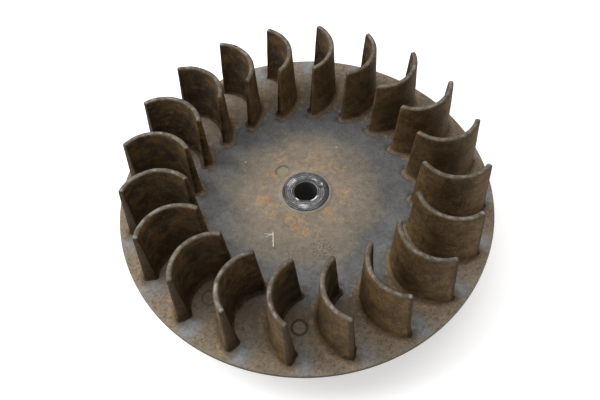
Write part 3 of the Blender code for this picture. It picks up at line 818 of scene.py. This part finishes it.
def disc_rows():
    """(radius, height, points in the ring, part of the casting) down one side of the casting and back."""
    inner = HUB_RADIUS + HUB_SEAM
    dense_from = 27 * MM
    low_edge = FACE_Z - EDGE_THICKNESS
    slope_start = DISC_RADIUS - EDGE_CHAMFER
    slope_end = DISC_RADIUS - EDGE_SLOPE_WIDTH
    boss_end = DISC_LOW.z
    few, many = DISC_POINTS, 2 * DISC_POINTS
    face = [(radius, few) for radius in np.arange(inner, dense_from, 0.4 * MM)]
    face += [(radius, many) for radius in np.linspace(dense_from, DISC_RADIUS - EDGE_ROUNDING, 86)]
    rows = [(radius, float(face_height(radius)), count, "face") for radius, count in face]
    for drop, inset in quarter(3):
        rows.append((DISC_RADIUS - EDGE_ROUNDING * inset, FACE_Z - EDGE_ROUNDING * drop, many, "edge"))
    rows.append((DISC_RADIUS, (FACE_Z - EDGE_ROUNDING + low_edge) / 2, many, "edge"))
    rows.append((DISC_RADIUS, low_edge + EDGE_CHAMFER, few, "edge"))
    rows.append((slope_start, low_edge, few, "edge"))
    under = []
    for share in np.linspace(0.12, 0.94, 5):
        radius = slope_start + share * (slope_end - slope_start)
        under.append((radius, low_edge + share * (WEB_UNDERSIDE_Z - low_edge)))
    for radius in np.linspace(slope_end - 1 * MM, BOSS_RADIUS + BOSS_FILLET, 20):
        under.append((radius, WEB_UNDERSIDE_Z))
    for drop, inset in quarter(6):
        under.append((BOSS_RADIUS + BOSS_FILLET * inset, WEB_UNDERSIDE_Z - BOSS_FILLET * drop))
    for height in np.linspace(WEB_UNDERSIDE_Z - BOSS_FILLET - 1 * MM, boss_end + 1 * MM, 5):
        under.append((BOSS_RADIUS, height))
    under.append((BOSS_RADIUS - 0.3 * MM, boss_end + 0.3 * MM))
    under += [(BOSS_RADIUS - 1.0 * MM, boss_end), (inner + 0.4 * MM, boss_end)]
    rows += [(radius, height, few, "under") for radius, height in under]
    bore = [boss_end + 0.4 * MM, *np.linspace(boss_end + 5 * MM, float(face_height(inner)) - 1 * MM, 5)]
    return rows + [(inner, height, few, "bore") for height in bore]


def face_unevenness(points):
    flat = points[:, :2]
    fade = ramp(from_axis(points), HUB_RADIUS + 2 * MM, HUB_RADIUS + 6 * MM)
    return fade * (0.055 * MM * waves(flat, 26 * MM, 3) + 0.02 * MM * waves(flat, 7 * MM, 4))


def face_masks(points, on_face):
    """Where the casting is warm, scoured, grimy or rusty, where painted shade falls round the blades' feet
    and where a painted highlight runs along the rim, as values for its points.
    """
    flat = points[:, :2]
    x, y = flat.T
    radius = from_axis(points)
    share = radius / DISC_RADIUS
    away, side, across, out = blade_places(x, y)
    on_back = side > 0
    warm = ramp(radius, 54 * MM, 24 * MM) + 0.10 * waves(flat, 22 * MM, 6)
    warm -= 0.14 * ramp(x, 8 * MM, 24 * MM)
    lobes = 0.72 + 0.28 * np.cos((FIRST_BLADE_ANGLE - np.arctan2(y, x)) * BLADE_COUNT + 0.6)
    inner_band = ramp(share, 0.33, 0.47) * ramp(share, 0.66, 0.56) * lobes
    passage = ramp(out, 56 * MM, 66 * MM) * ramp(out, 92 * MM, 84 * MM)
    wake = hump(across, -7.0 * MM, 4.3 * MM) * ramp(out, 87 * MM, 93 * MM)
    wake += 0.32 * passage * hump(across, -8.0 * MM, 5.5 * MM)
    foot_rust = ramp(away, 10 * MM, 1 * MM) * np.where(on_back, 0.8, 0.3) * ramp(share, 0.54, 0.62)
    halo = hump(radius, 22 * MM, 9 * MM) * (0.65 + 0.35 * waves(flat, 16 * MM, 10))
    halo *= 1 - 0.45 * ramp(x, 6 * MM, 24 * MM)
    masks = {
        "warm": warm,
        "bare": np.clip(inner_band * (0.45 + 0.3 * waves(flat, 40 * MM, 9)), 0, 1),
        "wake": np.clip(wake * (0.9 + 0.15 * waves(flat, 30 * MM, 8)), 0, 1),
        # Painted contact shade round the blades' feet, strongest on their convex side.
        "foot": ramp(away, 3.4 * MM, 0.3 * MM) * np.where(on_back, 1.0, 0.3),
        "rust": np.maximum(foot_rust, np.clip(halo, 0, 1)),
        "lip": ramp(radius, HUB_RADIUS + 3 * MM, HUB_RADIUS + 1.6 * MM),
        # Painted highlight along the top of the rim.
        "rim": ramp(radius, DISC_RADIUS - 2.2 * MM, DISC_RADIUS - 0.7 * MM),
    }
    masks = {label: values * on_face for label, values in masks.items()}
    masks["outer"] = np.where(on_face, ramp(radius, 56 * MM, 92 * MM), 1.0)
    masks["on_face"] = on_face
    return masks


def raised_mark(middle, size, rise, profile, count):
    """A low turned shape that stands on the fan face and reaches a little below it."""
    rings = []
    for share, height in profile:
        ring = circle(share * size, height * rise, count)
        ring[:, :2] += middle
        ring[:, 2] += face_height(from_axis(ring)) + face_unevenness(ring)
        rings.append(ring)
    return stitched(rings, capped=True)


def pip_places():
    """Places spread evenly but irregularly over a round patch of radius 1."""
    generator = np.random.default_rng(41)
    places = []
    while len(places) < PIP_COUNT:
        place = generator.uniform(-1, 1, 2)
        if np.hypot(*place) < 1 and all(np.hypot(*(place - other)) > 0.2 for other in places):
            places.append(place)
    return places


def face_marks():
    """The round marks of the mould's pins, and a patch of small pips."""
    sizes = ((3.4, 0.12), (3.5, 0.16), (3.3, 0.05), (3.6, 0.10))
    shells = []
    for middle, (size, rise) in zip((HUB_MARK, BLADE_MARK, *FAINT_MARKS), sizes):
        shells.append(raised_mark(middle, size * MM, rise * MM, PIN_PROFILE, 72))
    for place in pip_places():
        size = (0.34 + 0.28 * abs(sin(40 * place[0]))) * MM
        shells.append(raised_mark(PIP_PATCH + place * PIP_PATCH_RADIUS, size, 0.10 * MM, PIP_PROFILE, 10))
    return shells


def make_disc(material):
    rows = disc_rows()
    points, faces = stitched([circle(*row[:3]) for row in rows], closed=True)
    parts = np.concatenate([[part] * count for _, _, count, part in rows])
    casting_count = len(points)
    points[:, 2] += np.where(parts == "face", face_unevenness(points), 0)
    points[:, 2] += np.where(parts == "under", 0.06 * MM * waves(points[:, :2], 15 * MM, 5), 0)
    for mark_points, mark_faces in face_marks():
        faces += [[index + len(points) for index in face] for face in mark_faces]
        points = np.concatenate([points, mark_points])
    parts = np.append(parts, ["face"] * (len(points) - casting_count))
    masks = face_masks(points, parts == "face")
    # Painted shade on the edge wall, and under the rim, fading out inwards over the underside's slope.
    wall = (parts == "edge") & (points[:, 2] < FACE_Z - 0.6 * EDGE_ROUNDING)
    slope = ramp(from_axis(points), DISC_RADIUS - EDGE_SLOPE_WIDTH, DISC_RADIUS - 1 * MM)
    masks["edge"] = wall + 0.8 * slope * (parts == "under")
    near_patch = np.hypot(*(points[:, :2] - PIP_PATCH).T) < PIP_PATCH_RADIUS + 0.6 * MM
    masks["pip"] = near_patch & (np.arange(len(points)) >= casting_count)
    disc = mesh_object("fan_casting", points, faces, material, 35, masks)
    return finished(disc, "fan_disc")


def blade_ring(level, spread):
    """The blade's outline at a share of its height, in (tangential, radial) places, with its values."""
    down = 1 - level
    toe_spread = spread if spread < 0 else BLADE_TOE_FILLET_SHARE * spread
    base_half = (BLADE_TOP_THICKNESS + down * (BLADE_BASE_THICKNESS - BLADE_TOP_THICKNESS)) / 2 + spread
    toe_extra = down * BLADE_TOE_THICKENING / 2 + toe_spread - spread
    start = -BLADE_HALF_ANGLE - (down * BLADE_INNER_DRAFT + spread) / BLADE_ARC
    end = BLADE_HALF_ANGLE + (down * BLADE_OUTER_DRAFT + toe_spread) / BLADE_ARC
    points = []
    values = []

    def add(angle, offset, side, share):
        reach = BLADE_ARC + offset
        points.append((reach * cos(angle) - (BLADE_ARC - BLADE_BULGE), BLADE_MIDDLE + reach * sin(angle)))
        values.append((side, share))

    def add_end(angle, direction, share, flare):
        half = base_half + share * toe_extra
        corner = min(BLADE_CORNER_ROUNDING + (flare if flare > 0 else 0.6 * flare), 0.95 * half)
        turns = np.linspace(0, pi / 2, BLADE_CORNER_POINTS)
        for side, steps in ((direction, turns), (-direction, turns[::-1])):
            for turn in steps:
                inset = corner * (1 - sin(turn))
                offset = half - corner * (1 - cos(turn))
                add(angle - direction * inset / BLADE_ARC, side * offset, 0.5 * side, share)

    first = start + BLADE_CORNER_ROUNDING / BLADE_ARC
    last = end - BLADE_CORNER_ROUNDING / BLADE_ARC
    shares = np.linspace(0, 1, BLADE_SIDE_POINTS)[1:-1]
    for share in shares:
        add(first + share * (last - first), base_half + share**2 * toe_extra, 1, share)
    add_end(end, 1, 1.0, toe_spread)
    for share in shares[::-1]:
        add(first + share * (last - first), -base_half - share**2 * toe_extra, -1, share)
    add_end(start, -1, 0.0, spread)
    return np.array(points), np.array(values)


def blade_top(radial):
    share = (radial - BLADE_INNER_RADIUS) / (BLADE_OUTER_RADIUS - BLADE_INNER_RADIUS)
    return BLADE_INNER_HEIGHT + share * (BLADE_OUTER_HEIGHT - BLADE_INNER_HEIGHT)


def blade_shape():
    """One blade on the +Y axis: rings from the flared foot to the rounded top edge, and the values
    (height, side, share of the way out, share of the top's rounding) of their points."""
    rings = []
    values = []

    def add(outline, sides, heights, worn):
        rings.append(np.column_stack([outline, heights]))
        values.append(np.column_stack([heights, sides, np.full(len(outline), worn)]))

    fillet = BLADE_FOOT_FILLET
    wall_top = BLADE_INNER_HEIGHT - BLADE_TOP_ROUNDING
    foot_heights = fillet * (1 - np.cos(np.linspace(0, pi / 2, 8)))
    for height in [-BLADE_SINK, *foot_heights, *np.linspace(fillet, wall_top, 20)[1:]]:
        over = max(0.0, min(1.0, height / fillet))
        spread = fillet * (1 - sqrt(1 - (1 - over) ** 2))
        outline, sides = blade_ring(max(0.0, height) / BLADE_INNER_HEIGHT, spread)
        heights = np.full(len(outline), height)
        if height > fillet:
            stretch = (height - fillet) / (wall_top - fillet)
            heights = fillet + stretch * (blade_top(outline[:, 1]) - BLADE_TOP_ROUNDING - fillet)
        add(outline, sides, heights, 0.0)
    for inwards, below in quarter(5):
        outline, sides = blade_ring(1.0, -BLADE_TOP_ROUNDING * inwards)
        heights = blade_top(outline[:, 1]) - BLADE_TOP_ROUNDING * below
        add(outline, sides, heights, (1 - below) ** 0.6)
    return rings, values


def strip_cap(start, count):
    """Closes a blade outline with quads across it, between the two sides."""
    last = start + count - 1
    steps = range(count // 2 - 1)
    return [[start + step, start + step + 1, last - step - 1, last - step] for step in steps]


def make_blades(material):
    rings, values = blade_shape()
    count = len(rings[0])
    # The outline starts beside the inner end, so it is turned to start in the middle of that end.
    rings = [np.roll(ring, BLADE_CORNER_POINTS, axis=0) for ring in rings]
    values = [np.roll(part, BLADE_CORNER_POINTS, axis=0) for part in values]
    heights, sides, along, top = np.concatenate(values).T
    base_points, faces = stitched(rings)
    faces += [face[::-1] for face in strip_cap(0, count)]
    faces += strip_cap((len(rings) - 1) * count, count)
    free = ramp(heights, 1.5 * MM, 6 * MM)
    for number in range(BLADE_COUNT):
        points = spun(base_points, FIRST_BLADE_ANGLE - BLADE_PITCH * number - pi / 2)
        points[:, 2] += FACE_Z
        points[:, 0] += free * 0.05 * MM * waves(points, 14 * MM, 20)
        points[:, 1] += free * 0.05 * MM * waves(points, 14 * MM, 21)
        flat = points[:, :2]
        nicks = np.clip(waves(flat, 5 * MM, 22) - 1.0, 0, 1)
        points[:, 2] -= top * (0.10 * MM * (1 + waves(flat, 8 * MM, 23)) + 0.25 * MM * nicks)
        masks = {"height": heights / BLADE_INNER_HEIGHT, "side": sides, "along": along, "top": top}
        masks["lot"] = np.full(len(points), 0.5 + 0.5 * sin(2.4 * number + 0.7))
        name = f"{number + 1:02d}"
        blade = mesh_object(f"cast_blade_{name}", points, faces, material, 50, masks)
        finished(blade, f"fan_blade_{name}")


# ------------------------------------------------------------------ hub sleeve


def arc_marks(turn, radius, places):
    """1 on arcs, given as (middle, half angle, inner radius, outer radius) in degrees and millimetres."""
    marks = []
    for middle, half_angle, low, high in places:
        off = np.abs((turn - radians(middle) + pi) % (2 * pi) - pi)
        ends = ramp(off, radians(half_angle), radians(0.4 * half_angle))
        outwards = ramp(radius, (low - 0.4) * MM, low * MM)
        marks.append(ends * outwards * ramp(radius, (high + 0.4) * MM, high * MM))
    return np.max(marks, axis=0)


def make_hub(material):
    low, high = HUB_LOW.z, HUB_TOP_Z
    edge = HUB_EDGE_ROUNDING
    mouth = BORE_SMALL_RADIUS + BORE_CHAMFER
    profile = [(HUB_RADIUS, z) for z in np.linspace(low + 0.6 * MM, high - edge, 12)]
    profile += [(HUB_RADIUS - edge * inwards, high - edge * below) for inwards, below in quarter(3)]
    end_face = np.linspace(HUB_RADIUS - edge - 0.15 * MM, mouth + 0.2 * MM, 26)
    profile += [(radius, high) for radius in end_face]
    profile += [(mouth + 0.05 * MM, high - 0.02 * MM), (mouth - 0.3 * MM, high - 0.3 * MM)]
    bore_radii = np.linspace(BORE_SMALL_RADIUS, BORE_LARGE_RADIUS, 24)
    profile += zip(bore_radii, np.linspace(high - BORE_CHAMFER, low + 0.4 * MM, 24))
    profile.append((BORE_LARGE_RADIUS + 0.4 * MM, low))
    under = np.linspace(BORE_LARGE_RADIUS + 0.8 * MM, HUB_RADIUS - 0.8 * MM, 6)
    profile += [(radius, low) for radius in under]
    profile.append((HUB_RADIUS - 0.6 * MM, low))
    points, faces = stitched([circle(*place, HUB_POINTS) for place in profile], closed=True)
    radius = from_axis(points)
    turn = np.arctan2(points[:, 1], points[:, 0])

    # The small end's lip is worn to a short flat towards the keyway, and the outer edge is bruised.
    near_top = ramp(points[:, 2], high - 3.0 * MM, high - 0.8 * MM)
    lip = near_top * ramp(radius, mouth + 1.6 * MM, mouth) * hump(turn, -pi / 2, 0.42)
    bruises = np.clip(waves(points[:, :2], 3.5 * MM, 31), 0, 2)
    outer = near_top * ramp(radius, HUB_RADIUS - 1.1 * MM, HUB_RADIUS)
    inwards = 0.55 * MM * lip + 0.12 * MM * outer * bruises
    points[:, :2] *= (1 - inwards / radius)[:, None]
    dents = np.clip(waves(points[:, :2], 2.4 * MM, 32) - 0.9, 0, 1)
    notch = ramp(np.abs(turn - NOTCH_ANGLE) * radius, 0.9 * MM, 0.4 * MM)
    notch *= ramp(radius, 7.6 * MM, 8.2 * MM) * ramp(radius, 11.2 * MM, 10.4 * MM)
    face = ramp(points[:, 2], high - 0.1 * MM, high)
    points[:, 2] -= face * (0.14 * MM * dents + 0.45 * MM * notch) + outer * 0.14 * MM * bruises

    # Arcs as (middle, half angle, inner radius, outer radius): worn arcs that the finish also lights up as
    # painted highlights.
    worn = ((-98, 24, 8.8, 11.0), (140, 26, 8.6, 11.0), (55, 16, 8.6, 9.4), (24, 8, 9.4, 10.4))
    # Arcs on the bore's chamfer painted as glints, where it faces the light.
    rubbed_and_glint = ((-48, 26, 6.3, 7.0), (-134, 12, 6.3, 7.0))
    # Arcs of painted shade on the end face.
    shaded_arcs = ((90, 60, 7.2, 7.8), (-4, 55, 10.3, 12.7), (180, 30, 11.3, 12.7), (15, 6, 8.0, 9.4))
    # The bore's wall is painted dark brown, as painted shade inside the hole.
    in_bore = ramp(radius, BORE_LARGE_RADIUS + 0.2 * MM, BORE_LARGE_RADIUS)
    masks = {
        "shine": near_top * arc_marks(turn, radius, worn),
        "shaded": face * arc_marks(turn, radius, shaded_arcs),
        "inside": in_bore * ramp(points[:, 2], high - 0.7 * MM, high - 2.5 * MM),
        "glint": near_top * arc_marks(turn, radius, rubbed_and_glint),
    }
    hub = mesh_object("steel_sleeve", points, faces, material, 35, masks)
    low_corner = (0, -KEYWAY_WIDTH / 2, low - OUTSIDE_REACH)
    high_corner = (BORE_LARGE_RADIUS + KEYWAY_DEPTH, KEYWAY_WIDTH / 2, KEYWAY_TOP_Z)
    carve(hub, [box_tool(low_corner, high_corner, radians(-90))])
    return finished(hub, "hub_sleeve")


# ---------------------------------------------------------------- magnet ring


def make_ring(material):
    top = RING_TOP_Z
    profile = [(RING_INNER_RADIUS, z) for z in np.linspace(RING_EDGE, top, 8)]
    profile += [(radius, top) for radius in np.linspace(RING_INNER_RADIUS + 1 * MM, RING_OUTER_RADIUS, 6)]
    profile += [(RING_OUTER_RADIUS, z) for z in np.linspace(top - 1 * MM, RING_EDGE, 8)]
    profile += [(RING_OUTER_RADIUS - 0.25 * MM, 0.25 * MM), (RING_OUTER_RADIUS - RING_EDGE, 0)]
    profile += [(RING_INNER_RADIUS + RING_EDGE, 0), (RING_INNER_RADIUS + 0.25 * MM, 0.25 * MM)]
    points, faces = stitched([circle(*place, RING_POINTS) for place in profile], closed=True)
    ring = mesh_object("iron_ring", spun(points, pi / RING_POINTS), faces, material, 30)
    low = (RING_INNER_RADIUS - 12 * MM, -POCKET_HALF_WIDTH, POCKET_LOW_Z)
    high = (POCKET_FLOOR_RADIUS, POCKET_HALF_WIDTH, POCKET_HIGH_Z)
    tools = [box_tool(low, high, MAGNET_ANGLE)]
    for angle in RING_SCREW_ANGLES:
        foot = around(RING_SCREW_CIRCLE, angle, -OUTSIDE_REACH)
        recess = around(RING_SCREW_CIRCLE, angle, RING_COUNTERBORE_DEPTH)
        through = around(RING_SCREW_CIRCLE, angle, top + 2 * MM)
        tools.append(rod_tool(RING_COUNTERBORE_RADIUS, foot, recess, 0.4 * MM))
        tools.append(rod_tool(RING_HOLE_RADIUS, foot, through))
    for side in (-1, 1):
        seat, inside = shoe_screw_line(side)
        outward = (seat - inside).normalized()
        outside = seat + outward * 4 * MM
        tools.append(rod_tool(SHOE_RECESS_RADIUS, outside, seat - outward * GAP))
        tools.append(rod_tool(SMALL_HOLE_RADIUS, outside, inside))
    carve(ring, tools)
    return finished(ring, "magnet_ring")


def shoe_screw_line(side):
    """Where a pole shoe's screw has its seat in the ring and its tip in the shoe."""
    turn = Matrix.Rotation(MAGNET_ANGLE, 3, "Z")
    height = (POCKET_LOW_Z + POCKET_HIGH_Z) / 2
    radii = (SHOE_SEAT_RADIUS + GAP, SHOE_SCREW_TIP_RADIUS)
    return [turn @ Vector((radius, side * SHOE_SCREW_OFFSET, height)) for radius in radii]


def make_magnet(material):
    low = Vector((MAGNET_FACE_RADIUS, -MAGNET_HALF_WIDTH, POCKET_LOW_Z + GAP))
    high = Vector((POCKET_FLOOR_RADIUS - GAP, MAGNET_HALF_WIDTH, POCKET_HIGH_Z - GAP))
    magnet = box_tool(low, high, MAGNET_ANGLE)
    magnet.name = "bar_magnet"
    magnet.data.materials.append(material)
    soften(magnet, 0.5 * MM)
    return finished(magnet, "magnet")


def shoe_outline(inset, side):
    """A pole shoe seen from above, with the magnet's direction along X: straight back, curved face."""
    back = POCKET_FLOOR_RADIUS - GAP - inset
    near = MAGNET_HALF_WIDTH + GAP + inset
    far = POCKET_HALF_WIDTH - GAP - inset
    outline = [(back, near), (back, far)]
    for sideways in np.linspace(far, near, 12):
        outline.append((sqrt((SHOE_FACE_RADIUS + inset) ** 2 - sideways**2), sideways))
    return np.array(outline) * (1, side)


def make_shoe(number, side, material):
    """A stack of stamped sheets: each sheet's edge stands a little proud of the seams."""
    low, high = POCKET_LOW_Z + GAP, POCKET_HIGH_Z - GAP
    sheet = (high - low) / SHOE_SHEETS
    top = sheet - 0.001 * MM
    steps = ((0.0, SHEET_INSET), (SHEET_SEAM, 0.0), (sheet - SHEET_SEAM, 0.0), (top, SHEET_INSET))
    rings = []
    for base in low + sheet * np.arange(SHOE_SHEETS):
        for lift, inset in steps:
            outline = shoe_outline(inset, side)
            rings.append(np.column_stack([outline, np.full(len(outline), base + lift)]))
    points, faces = stitched(rings, capped=True)
    shoe = mesh_object(f"laminated_shoe_{number}", spun(points, MAGNET_ANGLE), faces, material, 30)
    seat, tip = shoe_screw_line(side)
    outward = (seat - tip).normalized()
    carve(shoe, [rod_tool(SMALL_HOLE_RADIUS, seat, tip - outward * 0.8 * MM)])
    return finished(shoe, f"pole_shoe_{number}")


def make_counterweight(material):
    turns = WEIGHT_ANGLE + np.linspace(-WEIGHT_HALF_ANGLE, WEIGHT_HALF_ANGLE, 25)
    outline = [around(WEIGHT_OUTER_RADIUS, turn, 0) for turn in turns]
    outline += [around(WEIGHT_INNER_RADIUS, turn, 0) for turn in turns[::-1]]
    rings = [np.array(outline) + (0, 0, height) for height in (WEIGHT_LOW.z, WEIGHT_HIGH.z)]
    points, faces = stitched(rings, capped=True)
    weight = mesh_object("iron_counterweight", points, faces, material, 30)
    soften(weight, 0.7 * MM)
    tools = []
    for angle in WEIGHT_SCREW_ANGLES:
        low = around(WEIGHT_SCREW_CIRCLE, angle, WEIGHT_LOW.z - OUTSIDE_REACH)
        high = around(WEIGHT_SCREW_CIRCLE, angle, WEIGHT_HIGH.z + 2 * MM)
        tools.append(rod_tool(SMALL_HOLE_RADIUS, low, high))
    carve(weight, tools)
    return finished(weight, "counterweight")


# --------------------------------------------------------------------- screws


def hexagon(radius, height):
    """A hexagon drawn with as many points as the circles round it."""
    ring = circle(radius, height, SCREW_POINTS)
    angles = 2 * pi * np.arange(SCREW_POINTS) / SCREW_POINTS
    sector = (angles + pi / 6) % (pi / 3) - pi / 6
    ring[:, :2] *= (cos(pi / 6) / np.cos(sector))[:, None]
    return ring


def knurled(radius, height, knurls):
    ring = circle(radius, height, SCREW_POINTS)
    if knurls:
        angles = 2 * pi * np.arange(SCREW_POINTS) / SCREW_POINTS
        ring[:, :2] *= (1 - 0.022 * (0.5 + 0.5 * np.cos(knurls * angles)))[:, None]
    return ring


def make_screw(name, node, seat, tip, size, material, knurls=0, domed=False):
    """A socket screw: its head's underside is at seat, and its shank runs to tip."""
    shank, head, head_height = size
    length = (Vector(tip) - Vector(seat)).length
    socket = 0.55 * head
    small = 0.2 * MM
    profile = [(shank - 0.5 * MM, length), (shank, length - 0.5 * MM)]
    for height in np.arange(length - 0.5 * MM - THREAD_PITCH, 3 * MM, -THREAD_PITCH / 2):
        in_root = round(height / (THREAD_PITCH / 2)) % 2
        profile.append((shank - THREAD_DEPTH * in_root, height))
    profile += [(shank, 1.5 * MM), (shank, small), (shank + small, 0.0), (head - small, 0.0)]
    rings = [circle(*place, SCREW_POINTS) for place in profile]
    wall = [-small, -head_height * 0.35, -head_height * 0.7, SCREW_EDGE - head_height]
    rings += [knurled(head, height, knurls) for height in wall]
    crown = [(head - 0.3 * SCREW_EDGE, -head_height + 0.3 * SCREW_EDGE), (head - SCREW_EDGE, -head_height)]
    if domed:
        rings.pop()
        crown = [(head * 0.97, wall[-1]), (head * 0.84, -head_height * 0.97), (head * 0.74, -head_height)]
    crown.append((socket * 1.12, -head_height))
    rings += [circle(*place, SCREW_POINTS) for place in crown]
    rings.append(hexagon(socket * 1.02, -head_height + 0.10 * MM))
    rings.append(hexagon(socket * 0.98, -head_height + 0.3 * MM))
    rings.append(hexagon(socket * 0.98, -head_height * 0.42))
    rings.append(circle(socket * 0.45, -head_height * 0.34, SCREW_POINTS))
    points, faces = stitched(rings, capped=True)
    matrix = np.array(axis_matrix(seat, tip))
    screw = mesh_object(name, points @ matrix[:3, :3].T + matrix[:3, 3], faces, material, 35)
    return finished(screw, node)


def make_screws(material):
    for index, angle in enumerate(RING_SCREW_ANGLES, 1):
        node = f"ring_screw_{index}"
        seat = around(RING_SCREW_CIRCLE, angle, RING_COUNTERBORE_DEPTH - GAP)
        tip = around(RING_SCREW_CIRCLE, angle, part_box(node)[1].z)
        make_screw(f"socket_screw_{index}", node, seat, tip, RING_SCREW, material, knurls=32)
    for index, angle in enumerate(WEIGHT_SCREW_ANGLES, 1):
        node = f"counterweight_screw_{index}"
        seat = around(WEIGHT_SCREW_CIRCLE, angle, WEIGHT_LOW.z - GAP)
        tip = around(WEIGHT_SCREW_CIRCLE, angle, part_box(node)[1].z)
        make_screw(f"weight_screw_{index}", node, seat, tip, WEIGHT_SCREW, material, domed=True)
    for index, side in enumerate((-1, 1), 1):
        seat, tip = shoe_screw_line(side)
        node = f"pole_shoe_screw_{index}"
        make_screw(f"shoe_screw_{index}", node, seat, tip, SHOE_SCREW, material, domed=True)


# ------------------------------------------------------------ camera and light


def make_camera():
    data = bpy.data.cameras.new("camera")
    data.lens = 42.30
    data.sensor_width = 36.0
    data.shift_x = -0.0100
    data.shift_y = -0.0073
    data.clip_start = 0.01
    data.clip_end = 20.0
    camera = linked("camera", data)
    back = Vector((0, -cos(CAMERA_ELEVATION), sin(CAMERA_ELEVATION)))
    place = Matrix.Translation(Vector((0, 0, FACE_Z)) + back * CAMERA_DISTANCE)
    look = (-back).to_track_quat("-Z", "Y").to_matrix().to_4x4()
    camera.matrix_world = place @ look @ Matrix.Rotation(CAMERA_ROLL, 4, "Z")
    bpy.context.scene.camera = camera


def area_light(name, place, width, energy):
    """A round light that points at the middle of the fan face."""
    data = bpy.data.lights.new(name, "AREA")
    data.shape = "DISK"
    data.size = width
    data.energy = energy
    light = linked(name, data)
    light.location = place
    light.rotation_mode = "QUATERNION"
    light.rotation_quaternion = (Vector((0, 0, FACE_Z)) - Vector(place)).to_track_quat("-Z", "Y")


def make_studio():
    world = bpy.data.worlds.new("studio")
    world.use_nodes = True
    tree = world.node_tree
    background = tree.nodes["Background"]
    background.inputs["Color"].default_value = (1.0, 1.0, 1.0, 1.0)
    # The backdrop looks white behind the floor, and lights the part more softly than it looks.
    path = tree.nodes.new("ShaderNodeLightPath")
    strength = tree.nodes.new("ShaderNodeMapRange")
    strength.inputs["To Min"].default_value = 0.52
    strength.inputs["To Max"].default_value = 1.0
    tree.links.new(path.outputs["Is Camera Ray"], strength.inputs["Value"])
    tree.links.new(strength.outputs["Result"], background.inputs["Strength"])
    bpy.context.scene.world = world
    bpy.context.scene.view_settings.view_transform = "Standard"
    area_light("softbox_left", (-0.75, 0.18, 0.78), 0.9, 10.0)
    area_light("softbox_over", (0.0, 0.30, 1.05), 1.2, 5.0)

    f = Finish("pale_floor")
    f.colour = f.mix(f.noise(0.25, 2), (0.86, 0.86, 0.855), (0.89, 0.89, 0.885))
    material = f.done(0.8, 0.0, 0.2)
    shader = f.tree.nodes["Principled BSDF"]
    shader.inputs["Emission Color"].default_value = (1.0, 1.0, 1.0, 1.0)
    shader.inputs["Emission Strength"].default_value = 0.4
    half = 4.0
    corners = [(-half, -half, 0), (half, -half, 0), (half, half, 0), (-half, half, 0)]
    mesh = bpy.data.meshes.new("floor")
    mesh.from_pydata(corners, [], [(0, 1, 2, 3)])
    mesh.materials.append(material)
    floor = linked("floor", mesh)
    floor.location.z = CAD_LOW.z - 0.05 * MM


def main():
    make_camera()
    make_studio()
    make_disc(disc_finish())
    make_blades(blade_finish())
    make_hub(hub_finish())
    make_ring(ring_finish())
    magnet = metal_finish("magnet_alloy", (0.300, 0.300, 0.310), (0.190, 0.180, 0.175), 0.45, 0.85, 0.3)
    shoe = metal_finish("shoe_steel", (0.340, 0.320, 0.300), (0.200, 0.175, 0.155), 0.42, 0.85)
    weight = metal_finish("weight_iron", (0.170, 0.155, 0.140), (0.100, 0.088, 0.076), 0.6, 0.6)
    screw = metal_finish("screw_steel", (0.360, 0.340, 0.300), (0.220, 0.195, 0.165), 0.38, 0.85, size=0.5)
    make_magnet(magnet)
    make_shoe(1, -1, shoe)
    make_shoe(2, 1, shoe)
    make_counterweight(weight)
    make_screws(screw)


main()
